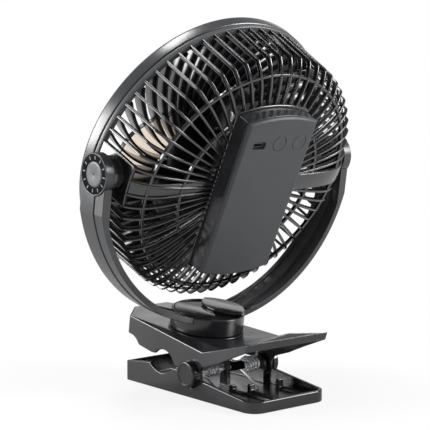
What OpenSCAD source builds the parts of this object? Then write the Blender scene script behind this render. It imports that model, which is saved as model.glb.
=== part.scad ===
// Portable camping fan: a round fan head with a lamp, held in a tilting yoke on a
// swivel hub, standing on a spring clamp. Millimetres, +Z up, +Y to the rear, where
// the control box is. The origin lies on the flat underside of the lower jaw.

/* [Head ring] */
// Outer radius of the front ring
ring_r = 104.1; // [102:0.1:106]
// Depth of the front ring, front to rear
ring_depth = 10.6; // [8:0.1:14]
// How far the ring's front edge lies in front of the tilt axis
ring_front = 31.2; // [28:0.1:33]
// Radial thickness of the ring's wall
ring_wall = 4.2; // [3:0.1:6]
// Radius that rounds the ring's front edge
ring_round = 3; // [1:0.5:3.5]

/* [Rear cage] */
// How far the cage's front rim lies inside the ring's outer radius
rim_in = 2.1; // [1.5:0.1:3]
// Depth of the cage's front rim
rim_depth = 3.4; // [2:0.1:5]
// Width of the shadow groove between ring and cage
rim_groove = 0.5; // [0.5:0.1:1.5]
// How far the cage narrows from its front rim to where its ribs bend inwards
elbow_in = 2; // [1.5:0.1:4]
// Distance of that bend behind the tilt axis
elbow_v = 20.5; // [16:0.1:24]
// Height of the domed back above the bend
dome_h = 11.8; // [8:0.1:16]
// How flat the domed back is: higher is flatter
dome_flat = 8.3; // [4:0.1:12]
// Number of cage ribs
cage_ribs = 62; // [40:2:72]
// Width of a cage rib
cage_rib_w = 1.9; // [1.4:0.1:2.6]
// Depth of a cage rib
cage_rib_d = 3.8; // [2.5:0.1:5]
// Distance of the outer hoop from that bend
hoop_outer_in = 12.4; // [9:0.1:18]
// Distance of the inner hoop from that bend
hoop_inner_in = 39.5; // [32:0.1:44]
// Width of a hoop
hoop_w = 2.2; // [1.4:0.1:3]
// Half the width of the flat arms that carry the control box
arm_half = 6.6; // [5:0.1:10]
// Half the angle of the solid side panels at the tilt pivots
panel_half = 8.7; // [6:0.1:12]

/* [Front grille] */
// Number of curved front ribs
grille_ribs = 46; // [30:1:56]
// Thickness of a front rib
grille_rib_w = 1.7; // [1.2:0.1:2.4]
// Depth of a front rib
grille_depth = 13.4; // [8:0.1:16]
// Radius that each front rib is bent to
grille_bend_r = 92; // [80:1:120]
// Angle between a front rib and the radius at the ring
grille_lean = 39; // [25:1:45]
// Clock angle of the first front rib at the ring
grille_phase = 6.6; // [0:0.1:7.8]
// Radius of the grille's centre boss
grille_hub_r = 21; // [16:0.5:28]

/* [Lamp] */
// Radius of the lamp disc
lamp_r = 33.6; // [24:0.1:36]
// Lamp centre beside the fan axis
lamp_u = 38.5; // [34:0.1:44]
// Lamp centre above the fan axis
lamp_w = -10.3; // [-20:0.1:0]
// Thickness of the lamp
lamp_t = 4.4; // [3.5:0.1:7]
// Wall of the lamp's lens and back
lamp_wall = 1.4; // [1:0.1:2]

/* [Fan blades] */
// Number of blades
blades = 7; // [3:1:9]
// Radius of the blades
blade_r = 63; // [50:0.5:90]
// Thickness of a blade
blade_t = 1.8; // [1.2:0.1:3]
// Depth of the blades along the shaft
blade_depth = 16; // [10:0.5:20]
// Angle that one blade spans round the hub
blade_span = 47; // [30:1:60]
// Radius of the blade hub
hub_r = 20.5; // [19.5:0.5:30]

/* [Motor] */
// Radius of the motor can
motor_r = 17; // [14:0.5:18]
// Length of the motor can
motor_len = 20.9; // [18:0.1:21.2]
// Diameter of the motor shaft
shaft_d = 3; // [2:0.1:4]
// Outer diameter of a motor bearing
bearing_d = 8; // [7:0.5:10]
// Width of a motor bearing
bearing_w = 3; // [2:0.5:4]

/* [Control box] */
// Width of the control box
box_w = 63; // [58:0.1:70]
// Height of the box's corners above the fan axis
box_top = 59.8; // [58:0.1:66]
// Depth of the box's corners below the fan axis
box_bottom = 62; // [57:0.1:66]
// Radius of the bowed top and bottom edges
box_bow_r = 111; // [90:1:140]
// Distance of the box's rear face behind the tilt axis
box_face = 46.1; // [44:0.1:50]
// Distance of the box's front behind the tilt axis
box_front = 22; // [21.5:0.1:23]
// Wall of the box
box_wall = 2; // [1.6:0.1:2.5]
// Depth of the cover, from its seat to its face
cover_h = 3.2; // [2.6:0.1:4]
// Chamfer round the cover's face
cover_chamfer = 1.6; // [1:0.1:3]

/* [Buttons and port] */
// Diameter of a button
button_d = 11.6; // [10:0.1:14]
// Travel of a button
button_travel = 0.8; // [0.4:0.1:1.2]
// Power button centre beside the fan axis
power_u = -1.1; // [-4:0.1:3]
// Light button centre beside the fan axis
light_u = -19.5; // [-21:0.1:-17.5]
// Height of the buttons above the fan axis
button_w = 43.3; // [40:0.1:46]
// Charging port centre beside the fan axis
port_u = 17.5; // [16:0.5:20]
// Height of the charging port above the fan axis
port_w = 42.7; // [40:0.1:46]
// Width of the recess round the port
port_recess_w = 11.6; // [10.6:0.1:13]
// Height of the recess round the port
port_recess_h = 6; // [5:0.1:7]

/* [Battery and board] */
// Diameter of a battery cell
cell_d = 18.3; // [16:0.1:18.4]
// Length of a battery cell
cell_len = 65; // [60:0.5:70]
// Width of the circuit board
board_w = 54; // [48:0.5:56]
// Height of the circuit board
board_h = 28; // [24:0.5:30]
// Thickness of the circuit board
board_t = 1.6; // [1:0.1:2]

/* [Yoke] */
// Distance from the ring's outer radius to the outer face of the yoke's strap
yoke_room = 14.4; // [12.5:0.1:17]
// Thickness of the yoke's strap
yoke_t = 5; // [4:0.1:5.5]
// Depth of the strap, front to rear
yoke_depth = 26; // [20:0.5:30]
// Gap between the ring and the yoke's round ends
yoke_side_gap = 3.8; // [3:0.1:5]
// Thickness of the yoke at its ends
yoke_end_t = 7.4; // [6.5:0.1:8]
// Radius of the yoke's round ends
yoke_end_r = 15; // [13:0.5:18]
// Distance of the seam in the strap behind the tilt axis
seam_y = 3; // [0:0.5:5]
// Step between the two halves' outer faces
seam_step = 0.6; // [0.3:0.1:1]
// Depth of the channels inside the strap
channel_d = 1.6; // [0.8:0.1:2]
// Width of one of the two channels
channel_w = 8; // [4:0.5:9]

/* [Tilt pivot] */
// Diameter of a tilt bolt
tilt_bolt_d = 6; // [4:0.5:8]
// Outer radius of a black dial ring
dial_r = 13.7; // [12:0.1:14]
// Radius of the cap in the middle of a dial
dial_cap_r = 9; // [7:0.1:10]
// Number of marks on a dial
dial_marks = 12; // [8:1:24]
// Thickness of a friction washer
tilt_washer_t = 1; // [0.6:0.1:1.2]
// Radius of the pivot boss on the head
tilt_boss_r = 12.5; // [10:0.5:14]

/* [Swivel hub] */
// Radius of the swivel hub
hub_drum_r = 27.3; // [26:0.1:29]
// Distance of the clamp's plate below the yoke's strap
hub_drop = 8.3; // [8.1:0.1:8.8]
// Height of the hub's rim above the clamp's plate
hub_rim_h = 16; // [15:0.1:17]
// Width of the rim round the hub's dish
hub_rim_w = 1.8; // [1:0.1:3]
// Depth of the dish in the hub
hub_dish_d = 1.3; // [0.8:0.1:2]
// Radius of the base ring under the hub
swivel_base_r = 28.3; // [27:0.1:30]
// Height of the base ring
swivel_base_h = 2.3; // [1.5:0.1:3]
// Radius of the spigot that the hub turns on
spigot_r = 12; // [10:0.5:13]
// Diameter of the swivel screw
swivel_screw_d = 5; // [4:0.5:6]

/* [Lock knob] */
// Radius that the knob's wings reach
knob_r = 27.9; // [24:0.1:28.5]
// Length of the chord of a wing
knob_wing_l = 44; // [36:1:46]
// Thickness of the upper wing
knob_wing_t = 2; // [1.5:0.1:2.2]

/* [Clamp] */
// Width of the lower jaw
jaw_w = 71.6; // [66:0.1:76]
// Distance of the lower jaw's front edge before the hub
jaw_front = 44.5; // [42:0.5:50]
// Distance of the lower jaw's rear edge behind the hub
jaw_rear = 100.5; // [96:0.5:106]
// Wall of the jaws
jaw_wall = 2.8; // [2.4:0.1:3.2]
// Floor of the lower jaw
jaw_floor = 2.6; // [2:0.1:3]
// Radius of the lower jaw's rear corners
jaw_corner_r = 11; // [6:0.5:14]
// How much narrower than the lower jaw the upper jaw is at its front
plate_front_in = 7.2; // [5:0.1:9]
// How much wider than the lower jaw the upper jaw is at its handle end
plate_rear_out = 3.6; // [2:0.1:4.4]
// Thickness of the upper jaw's plate
plate_t = 2.6; // [2.2:0.1:3.2]
// Distance of the clamp pin behind the hub
pin_y = 31.5; // [30:0.1:33]
// Height of the clamp pin
pin_z = 17.5; // [16.5:0.1:18.5]
// Diameter of the clamp pin
pin_d = 4; // [3:0.1:5]
// Radius of the pin's caps
pin_cap_r = 10; // [9.8:0.1:12]
// Radius of the upper jaw's ears round the pin
ear_r = 9.4; // [8.5:0.1:9.6]
// Crown of the handle's end
handle_crown = 4; // [1:0.1:5]
// Radius of the handle's corners
handle_corner_r = 6; // [3:0.5:6]

/* [Springs] */
// Wire diameter of the springs
wire_d = 1.5; // [1:0.1:1.8]
// Outer diameter of the left spring
spring_left_d = 8.6; // [8:0.1:11]
// Outer diameter of the right spring
spring_right_d = 11.6; // [8.6:0.1:12]
// Turns in a spring
spring_turns = 4; // [3:1:6]

/* [Setting] */
// How far the hub's axis leans back from upright
hub_lean = 8.3; // [6:0.1:10]
// How far the head tilts up from square to the hub
head_tilt = 17.8; // [-20:0.1:40]
// Height of the hub's foot on the upper jaw's plate
foot_z = 41.428; // [41:0.001:42]
// Distance of the hub's foot behind the origin
foot_y = 6.096; // [5:0.001:7]

/* [Clearances] */
// Gap round a shaft or pin that turns in its bore
run_gap = 0.06; // [0.03:0.01:0.1]
// Gap between a button and its hole
slide_gap = 0.1; // [0.08:0.01:0.2]
// Gap between parts that pass each other
pass_gap = 0.4; // [0.3:0.1:0.6]
// Gap between parts that are fitted together for good
seat_gap = 0.1; // [0.05:0.01:0.2]

/* [Hidden] */
$fn = 64;

// ---- Sizes that follow from the ring and the lower jaw -------------------
rim_r = ring_r - rim_in;
elbow_r = rim_r - elbow_in;
hoop_outer_r = elbow_r - hoop_outer_in;
hoop_inner_r = elbow_r - hoop_inner_in;
yoke_r = ring_r + yoke_room;
yoke_in_x = ring_r + yoke_side_gap;
yoke_x = yoke_in_x + yoke_end_t;
plate_h = yoke_r + hub_drop;
pivot_y = foot_y + plate_h * sin(hub_lean);
pivot_z = foot_z + plate_h * cos(hub_lean);
plate_front_w = jaw_w - plate_front_in;
plate_rear_w = jaw_w + plate_rear_out;

// ---- Frames -------------------------------------------------------------
// Hub frame: origin on the tilt axis, +Z up the hub's axis.
module in_hub() { translate([0, pivot_y, pivot_z]) rotate([-hub_lean, 0, 0]) children(); }
// Head frame: +Y to the rear along the fan's axis.
module in_head() { in_hub() rotate([-head_tilt, 0, 0]) children(); }
// Turns a shape that stands on +Z so that it points to the rear.
module rearward() { rotate([-90, 0, 0]) children(); }
// Places a shape that stands on +Z at a distance behind the tilt axis.
module at_v(v) { in_head() rearward() translate([0, 0, v]) children(); }
// Places a shape beside and above the fan's axis as well.
module at_uwv(u, w, v) { in_head() translate([u, v, w]) rearward() children(); }
// Points a shape that stands on +Z to one side, +1 or -1.
module sideways(side) { rotate([0, 90 * side, 0]) children(); }
// Extrudes a side profile, drawn as rearward and up, across the width.
module across(x0, x1) { translate([x0, 0, 0]) rotate([90, 0, 90]) linear_extrude(x1 - x0) children(); }
// Extrudes an outline, drawn as sideways and up, from front to rear.
module fore_aft(y0, y1) { translate([0, y1, 0]) rotate([90, 0, 0]) linear_extrude(y1 - y0) children(); }

module tube(r, bore_r, h) {
    difference() {
        cylinder(r = r, h = h);
        translate([0, 0, -1]) cylinder(r = bore_r, h = h + 2);
    }
}

// A screw that stands on +Z: its head below zero, its shank above.
module screw(d, length) {
    translate([0, 0, -d * 0.6]) difference() {
        cylinder(r = d * 0.95, h = d * 0.6);
        translate([0, 0, -0.1]) cylinder(r = d * 0.4, h = d * 0.35, $fn = 6);
    }
    cylinder(r = d / 2, h = length);
}

// ---- Clamp --------------------------------------------------------------
// Places along the lower jaw's side: rearward and up.
mouth_y = -2.8;
mouth_low_z = 30.6;
mouth_low_r = 18;
mouth_top_z = 15;
mouth_top_r = 14.5;
bend_y = 46;
handle_y = 98;
handle_z = 49.5;
handle_plan_y = 92;
// Height of the upper jaw's plate at a place along the clamp.
function plate_z(y) = foot_z - (y - foot_y) * tan(hub_lean);
bend_z = plate_z(bend_y);
ear_gap = 0.5;
inner_ear_t = 2.8;
inner_ear_x = jaw_w / 2 - jaw_wall - 1;
pin_end_x = jaw_w / 2 + 4.2;
cap_in_x = jaw_w / 2 + pass_gap;
cap_t = 4.9;

module lower_side() {
    difference() {
        polygon([[-jaw_front, 0], [-jaw_front, 15.1], [-18.3, 18.3], [15, 18.3], [pin_y, 17],
            [pin_y + 8.8, 14.7], [jaw_rear - 25.6, 10.4], [jaw_rear - 9.3, 8.5], [jaw_rear, 8.5],
            [jaw_rear, 0]]);
        translate([mouth_y, mouth_low_z]) circle(r = mouth_low_r);
        translate([pin_y, pin_z]) circle(r = ear_r + ear_gap);
    }
}

module lower_plan(inset) {
    x = jaw_w / 2 - inset;
    r = jaw_corner_r - inset;
    translate([-x, -jaw_front + inset]) square([2 * x, jaw_front + jaw_rear - 2 * inset - r]);
    translate([-x + r, 0]) square([2 * (x - r), jaw_rear - inset]);
    for (s = [-1, 1]) translate([s * (x - r), jaw_rear - inset - r]) circle(r = r);
}

module lower_jaw_post(x, y, h, rib_to) {
    translate([x - 2.6, y - 1.6, jaw_floor - 0.5]) cube([5.2, 3.2, h + 0.5]);
    translate([x - 0.8, y, jaw_floor - 0.5]) cube([1.6, rib_to - y, 2.5]);
}

module lower_jaw() color("#3a3b3d") difference() {
    union() {
        difference() {
            intersection() {
                across(-jaw_w / 2, jaw_w / 2) lower_side();
                linear_extrude(60) lower_plan(0);
            }
            translate([0, 0, jaw_floor]) linear_extrude(60) lower_plan(jaw_wall);
        }
        for (s = [-1, 1]) lower_ear(s);
        // Middle post that steadies the pin, with its foot.
        translate([1, pin_y - 4, jaw_floor - 0.5]) cube([4, 8, pin_z - jaw_floor + 4]);
        translate([0, pin_y - 2, jaw_floor - 0.5]) cube([6, 12, 3]);
        lower_jaw_post(-2, 55, 6.4, jaw_rear - jaw_wall + 0.5);
        lower_jaw_post(6, 44, 5, jaw_rear - jaw_wall + 0.5);
        lower_jaw_post(-25, 60, 8, jaw_rear - jaw_wall + 0.5);
    }
    translate([-50, pin_y, pin_z]) sideways(1) cylinder(r = pin_d / 2, h = 100);
}

module lower_ear(side) {
    x = side > 0 ? inner_ear_x - inner_ear_t : -inner_ear_x;
    across(x, x + inner_ear_t) {
        translate([pin_y, pin_z]) circle(r = 6.5);
        translate([pin_y - 6.5, jaw_floor - 0.5]) square([13, pin_z - jaw_floor + 0.5]);
    }
    foot = side > 0 ? inner_ear_x - 0.5 : -jaw_w / 2 + 0.5;
    translate([foot, pin_y - 6.5, jaw_floor - 0.5])
        cube([jaw_w / 2 - inner_ear_x, 13, 3.5]);
}

// Half the width of the upper jaw at a place along it.
function plate_half(y) = (plate_front_w + (plate_rear_w - plate_front_w) * (y + 52) / 136) / 2;

module plate_plan(inset) {
    c = 16.6;
    r = handle_corner_r;
    polygon(concat([[-plate_half(-52) + inset, -52 + inset * 0.4], [-plate_half(-52) + c, -52 - c + inset],
        [plate_half(-52) - c, -52 - c + inset], [plate_half(-52) - inset, -52 + inset * 0.4]],
        [for (s = [1, -1]) for (k = [0:5]) let (a = s > 0 ? k * 18 : 90 + k * 18)
            [s * (plate_half(handle_plan_y) - r) + (r - inset) * cos(a),
                handle_plan_y - r + (r - inset) * sin(a)]]));
}

module upper_side() {
    difference() {
        union() {
            polygon([[-80, plate_z(-80)], [bend_y, bend_z],
                [handle_y, handle_z], [handle_y - 3.2, handle_z - 6], [71.7, 34.1], [58.6, 28.3],
                [44, 23.6], [38, 16], [24, 16], [24, 19.8], [8, 19.8], [8, 25], [-18.2, 25.2],
                [-34, 27.9], [-37.2, 31.6], [-41.3, 34], [-49, 35.3], [-80, 42]]);
            translate([pin_y, pin_z]) circle(r = ear_r);
        }
        translate([mouth_y, mouth_top_z]) circle(r = mouth_top_r);
    }
}

module upper_inside() {
    polygon([[-80, plate_z(-80) - plate_t], [bend_y + 0.4, bend_z - plate_t],
        [handle_y - 3.4, handle_z - plate_t - 1.1], [handle_y - 3.4, -20], [-80, -20]]);
}

// Wedge that crowns the handle's end.
module handle_ridge() {
    w0 = plate_half(bend_y) - 4;
    w1 = plate_half(handle_y) - 6;
    y1 = handle_y - 0.3;
    polyhedron(
        points = [[-w0, bend_y, bend_z], [w0, bend_y, bend_z], [-w1, y1, handle_z], [w1, y1, handle_z],
            [0, y1, handle_z + handle_crown], [0, bend_y, bend_z - 1], [0, y1, handle_z - 1]],
        faces = [[0, 4, 1], [0, 2, 4], [1, 4, 3], [2, 3, 4], [0, 1, 5], [0, 5, 6, 2], [5, 1, 3, 6],
            [2, 6, 3]]);
}

module upper_jaw() color("#4a4b4d") difference() {
    union() {
        difference() {
            intersection() {
                across(-60, 60) upper_side();
                in_hub() translate([0, 0, -240]) linear_extrude(160) plate_plan(0);
            }
            intersection() {
                across(-60, 60) upper_inside();
                in_hub() translate([0, 0, -240]) linear_extrude(160) plate_plan(jaw_wall);
            }
        }
        handle_ridge();
    }
    for (s = [-1, 1]) translate([s > 0 ? 20 : -50, pin_y, pin_z]) sideways(1)
        cylinder(r = pin_d / 2 + run_gap, h = 30);
    in_hub() for (a = [0:120:240]) rotate(a) translate([swivel_screw_ring, 0, -plate_h - 8])
        cylinder(r = 1.6, h = 12);
}

module clamp_pin() color("silver") translate([-pin_end_x, pin_y, pin_z]) sideways(1)
    cylinder(r = pin_d / 2, h = 2 * pin_end_x);

module pin_cap(side) color("#454648") difference() {
    translate([side * cap_in_x, pin_y, pin_z]) sideways(side) {
        cylinder(r = pin_cap_r, h = cap_t - 0.6);
        cylinder(r = pin_cap_r - 0.6, h = cap_t);
    }
    translate([-pin_end_x - 0.02, pin_y, pin_z]) sideways(1)
        cylinder(r = pin_d / 2, h = 2 * pin_end_x + 0.04);
}
module pin_cap_left() pin_cap(1);
module pin_cap_right() pin_cap(-1);

module pin_sleeve() color("#202022") translate([-13.5, pin_y, pin_z]) sideways(1)
    tube(pin_d / 2 + 1.1, pin_d / 2 + run_gap, 12);

// A torsion spring wound round the pin. One leg stands against the upper jaw's plate,
// the other runs down to the lower jaw's floor.
spring_steps = 14;
wire_sides = 8;
spring_pitch = 1.9;
spring_play = 0.95;
spring_right_x = -(inner_ear_x - inner_ear_t - spring_play - wire_d / 2);
leg_drop = 28;
plate_reach = (plate_z(pin_y) - pin_z - plate_t) * cos(hub_lean) - 0.1;
function coil_angle(k) = 90 + k * 360 / spring_steps;
function coil_point(k, r) = [k * wire_d * spring_pitch / spring_steps,
    r * cos(coil_angle(k)), r * sin(coil_angle(k))];
module coil(r, n) {
    pts = [for (k = [0:n]) for (j = [0:wire_sides - 1]) let (b = j * 360 / wire_sides, t = coil_angle(k))
        coil_point(k, r) + wire_d / 2 * [sin(b), cos(b) * cos(t), cos(b) * sin(t)]];
    sides = [for (k = [0:n - 1]) for (j = [0:wire_sides - 1]) let (q = (j + 1) % wire_sides)
        [k * wire_sides + j, k * wire_sides + q, (k + 1) * wire_sides + q, (k + 1) * wire_sides + j]];
    caps = [[for (j = [wire_sides - 1:-1:0]) j], [for (j = [0:wire_sides - 1]) n * wire_sides + j]];
    polyhedron(points = pts, faces = concat(sides, caps));
}
module clamp_spring(x0, d) color("gainsboro") translate([x0, pin_y, pin_z]) {
    r = (d - wire_d) / 2;
    n = (spring_turns + 0.5) * spring_steps;
    coil(r, n);
    translate([0, 0, r]) rotate([-hub_lean, 0, 0])
        cylinder(r = wire_d / 2 - 0.02, h = plate_reach - r * cos(hub_lean));
    translate([coil_point(n, r)[0], 0, -r]) rotate([-90 - leg_drop, 0, 0])
        cylinder(r = wire_d / 2 - 0.02, h = (pin_z - jaw_floor - r - wire_d / 2) / sin(leg_drop));
}
module clamp_spring_left() clamp_spring(9, spring_left_d);
module clamp_spring_right() clamp_spring(spring_right_x, spring_right_d);

// ---- Swivel hub ---------------------------------------------------------
hub_gap = 0.6;
drum_z0 = -plate_h + swivel_base_h + hub_gap;
rim_z = -plate_h + hub_rim_h;
dish_z = rim_z - hub_dish_d;
spigot_top = rim_z - 4.8;
swivel_screw_ring = 19;
core_r = 16;
washer_seat_z = spigot_top - 0.1;

module swivel_base() color("#303133") in_hub() difference() {
    union() {
        translate([0, 0, -plate_h]) cylinder(r = swivel_base_r, h = swivel_base_h);
        translate([0, 0, -plate_h]) cylinder(r = spigot_r, h = plate_h + spigot_top);
    }
    translate([0, 0, -plate_h - 1]) cylinder(r = swivel_screw_d / 2, h = 20);
    for (a = [0:120:240]) rotate(a) translate([swivel_screw_ring, 0, -plate_h - 1])
        cylinder(r = 1.45, h = 3);
}

module swivel_base_screws() color("silver") in_hub() for (a = [0:120:240]) rotate(a)
    translate([swivel_screw_ring, 0, -plate_h - plate_t * cos(hub_lean)]) screw(2.9, plate_t + 1.9);

module thrust_washer() color("ivory") in_hub() translate([0, 0, -plate_h + swivel_base_h])
    tube(swivel_base_r - 5.3, spigot_r + pass_gap, hub_gap);

// Where the strap of the yoke runs through the hub.
module strap_room(gap) in_hub() difference() {
    fore_aft(-yoke_depth / 2 - gap, yoke_depth / 2 + gap) difference() {
        intersection() {
            circle(r = yoke_r + gap, $fn = 128);
            translate([-40, -yoke_r - gap]) square([80, 40]);
        }
        circle(r = yoke_r - yoke_t - gap, $fn = 128);
    }
    translate([0, 0, -plate_h - 3]) cylinder(r = core_r - gap, h = 30);
}

module swivel_hub() color("#3c3d3f") difference() {
    in_hub() difference() {
        translate([0, 0, drum_z0]) cylinder(r = hub_drum_r, h = rim_z - drum_z0);
        translate([0, 0, dish_z]) cylinder(r = hub_drum_r - hub_rim_w, h = 5);
        translate([0, 0, drum_z0 - 1]) cylinder(r = spigot_r + run_gap, h = washer_seat_z - drum_z0 + 1);
        translate([0, 0, washer_seat_z - 0.01]) cylinder(r = washer_r + 0.3, h = 2.2);
        translate([0, 0, dish_z - 3]) cylinder(r = knob_stem_r + run_gap, h = 4);
    }
    strap_room(seat_gap);
}

washer_r = 14;
knob_stem_r = 3;
washer_t = 0.8;
module swivel_washer() color("silver") in_hub() translate([0, 0, spigot_top])
    tube(washer_r, swivel_screw_d / 2 + 0.1, washer_t);

module swivel_screw() color("silver") in_hub() translate([0, 0, spigot_top + washer_t]) {
    difference() {
        cylinder(r = 5, h = 1.1);
        translate([0, 0, 0.4]) cylinder(r = 2, h = 2, $fn = 6);
    }
    translate([0, 0, -10]) cylinder(r = swivel_screw_d / 2, h = 10.1);
}

// Leaf outline of a wing: two arcs that meet at its tips.
module wing_outline() {
    reach = 25.5;
    w = reach / 2 + 0.5;
    h = knob_wing_l / 2;
    arc = (h * h + w * w) / (2 * w);
    intersection() {
        translate([arc - reach / 2 - w / 2 - 6.6, 2]) circle(r = arc, $fn = 96);
        translate([-arc + w - reach / 2 + 0.4, 2]) circle(r = arc, $fn = 96);
        circle(r = knob_r, $fn = 96);
    }
}

knob_base_z = dish_z + 0.3;
wing_gap = 0.3;
knob_top_z = rim_z + wing_gap + knob_wing_t;
module lock_knob() color("#2c2d2f") in_hub() {
    translate([0, 0, dish_z - 1.4]) cylinder(r = knob_stem_r, h = 3);
    translate([0, 0, knob_base_z]) intersection() {
        linear_extrude(rim_z - knob_base_z + wing_gap + 0.2) rotate(180) wing_outline();
        cylinder(r = hub_drum_r - hub_rim_w - pass_gap, h = 5);
    }
    translate([0, 0, rim_z + wing_gap]) linear_extrude(knob_top_z - rim_z - wing_gap) wing_outline();
    translate([0, 0, knob_base_z]) cylinder(r = 7, h = rim_z - knob_base_z + wing_gap + 0.2);
}

// ---- Yoke ---------------------------------------------------------------
module yoke_outline(drop) {
    difference() {
        intersection() {
            circle(r = yoke_r - drop, $fn = 180);
            translate([-yoke_x + drop, -yoke_r]) square([2 * (yoke_x - drop), yoke_r]);
        }
        intersection() {
            circle(r = yoke_r - yoke_t, $fn = 180);
            square([2 * yoke_in_x, 2 * yoke_r], center = true);
        }
    }
}

module strap_channels() {
    for (y = [-channel_w - 1.5, 1.5]) fore_aft(y, y + channel_w) difference() {
        intersection() {
            circle(r = yoke_r - yoke_t + channel_d, $fn = 180);
            translate([-yoke_in_x - channel_d, -yoke_r]) square([2 * (yoke_in_x + channel_d), yoke_r - 26]);
        }
        circle(r = yoke_r - yoke_t - 5);
    }
}

// Room kept free above the hub for the knob's sweep, and round the hub's core.
module hub_clear() {
    translate([0, 0, rim_z - 0.1]) cylinder(r = knob_r + 1.6, h = 20);
    translate([0, 0, dish_z]) cylinder(r = hub_drum_r - hub_rim_w, h = 20);
    translate([0, 0, -plate_h - 3]) cylinder(r = core_r, h = 30);
}

module tilt_bores(r) {
    translate([-yoke_r - 10, 0, 0]) sideways(1) cylinder(r = r, h = 2 * yoke_r + 20);
}

module yoke_front() color("#5a5b5d") in_hub() difference() {
    union() {
        fore_aft(-yoke_depth / 2, seam_y - 0.2) yoke_outline(0);
        for (s = [-1, 1]) translate([s * yoke_in_x, 0, 0]) sideways(s)
            cylinder(r = yoke_end_r, h = yoke_end_t);
    }
    strap_channels();
    hub_clear();
    tilt_bores(tilt_bolt_d / 2 + run_gap);
    for (s = [-1, 1]) translate([s * (yoke_x - 1.2), 0, 0]) sideways(s)
        cylinder(r = dial_r + seat_gap, h = 3);
    for (s = [-1, 1]) translate([s * (yoke_in_x + 2.4), 0, 0]) sideways(s) cylinder(r = 7, h = 9);
}

module yoke_rear() color("#505153") in_hub() difference() {
    fore_aft(seam_y + 0.2, yoke_depth / 2) yoke_outline(seam_step);
    strap_channels();
    hub_clear();
    tilt_bores(yoke_end_r + 0.3);
}

// ---- Tilt pivots --------------------------------------------------------
boss_face_x = yoke_in_x - tilt_washer_t - 0.1;
boss_in_x = elbow_r - 5;

module tilt_dial(side) in_hub() translate([side * (yoke_x - 1.2), 0, 0]) sideways(side) {
    color("#0c0c0d") tube(dial_r, dial_cap_r + seat_gap, 0.8);
    color("gainsboro") for (a = [0:360 / dial_marks:359]) rotate(a)
        translate([dial_r - 3.4, -0.35, 0.7]) cube([2.6, 0.7, 0.4]);
}
module tilt_dial_left() tilt_dial(1);
module tilt_dial_right() tilt_dial(-1);

module dial_cap(side) color("#6a6b6d") in_hub() translate([side * (yoke_x - 1.2), 0, 0]) sideways(side)
    difference() {
        union() {
            cylinder(r = dial_cap_r, h = 0.9);
            cylinder(r = dial_cap_r - 0.5, h = 1.2);
        }
        translate([0, 0, 0.8]) cylinder(r = 0.6, h = 1);
    }
module dial_cap_left() dial_cap(1);
module dial_cap_right() dial_cap(-1);

module tilt_bolt(side) color("silver") in_hub() translate([side * boss_in_x, 0, 0]) sideways(side) {
    cylinder(r = tilt_bolt_d / 2, h = yoke_in_x + 2.5 - boss_in_x);
    translate([0, 0, yoke_in_x + 2.45 - boss_in_x]) cylinder(r = 6, h = 2.6);
}
module tilt_bolt_left() tilt_bolt(1);
module tilt_bolt_right() tilt_bolt(-1);

module tilt_washer(side) color("ivory") in_hub() translate([side * (boss_face_x + 0.05), 0, 0]) sideways(side)
    tube(10, tilt_bolt_d / 2 + 0.2, tilt_washer_t);
module tilt_washer_left() tilt_washer(1);
module tilt_washer_right() tilt_washer(-1);

// ---- Head ring and front grille -----------------------------------------
ring_back_v = -ring_front + ring_depth;
ring_bore_r = ring_r - ring_wall - 0.5;
spigot_len = 2.6;

module front_ring() color("#8b8d90") at_v(0) rotate_extrude($fn = 180) polygon(concat(
    [[ring_bore_r - 1.6, -ring_front]],
    [for (a = [0:15:90])
        [ring_r - ring_round + ring_round * sin(a), -ring_front + ring_round * (1 - cos(a))]],
    [[ring_r - 0.6, ring_back_v - 0.6], [ring_r - 1.2, ring_back_v],
        [ring_bore_r, ring_back_v], [ring_bore_r, -ring_front + 1.2],
        [ring_bore_r - 1.6, -ring_front + 1.2]]));

grille_front_v = -ring_front + 1.2;
grille_out_r = ring_bore_r - seat_gap;
grille_rim_w = 3.5;
lean_r = grille_out_r - 1;
rib_end_r = grille_out_r - 2.9;
rib_steps = 10;
bend_c = sqrt(pow(lean_r, 2) + pow(grille_bend_r, 2)
    - 2 * lean_r * grille_bend_r * sin(grille_lean));
// Angle about the bend's centre at which a rib lies at a distance from the fan's axis.
function bend_angle(r) =
    acos((pow(bend_c, 2) + pow(grille_bend_r, 2) - r * r) / (2 * bend_c * grille_bend_r));
// Clock angle of a point of the bend before the ribs are turned into place.
function bend_clock(r) = 90 + atan2(grille_bend_r * sin(bend_angle(r)),
    bend_c - grille_bend_r * cos(bend_angle(r)));
// A point of one side of a rib, from 0 at the rim to 1 at the boss.
function rib_point(t, side) = let (b = bend_angle(rib_end_r) * (1 - t) + bend_angle(grille_hub_r - 1) * t,
    r = grille_bend_r + side * grille_rib_w / 2) [bend_c - r * cos(b), r * sin(b)];

module grille_rib(a) rotate(a - bend_clock(lean_r)) linear_extrude(grille_depth)
    polygon(concat([for (k = [0:rib_steps]) rib_point(k / rib_steps, 1)],
        [for (k = [rib_steps:-1:0]) rib_point(k / rib_steps, -1)]));

module front_grille() color("#77797c") at_v(grille_front_v) {
    tube(grille_out_r, grille_out_r - grille_rim_w, 6);
    for (i = [0:grille_ribs - 1]) grille_rib(grille_phase + i * 360 / grille_ribs);
    difference() {
        cylinder(r = grille_hub_r, h = grille_depth + 0.5);
        translate([0, 0, 2]) cylinder(r = grille_hub_r - 2, h = grille_depth);
    }
}

// ---- Rear cage ----------------------------------------------------------
rim_front_v = ring_back_v + rim_groove;
rim_back_v = rim_front_v + rim_depth;
function dome(r) = elbow_v + dome_h * (1 - pow(r / elbow_r, dome_flat));
function dome_slope(r) = -dome_h * dome_flat / elbow_r * pow(r / elbow_r, dome_flat - 1);
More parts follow.
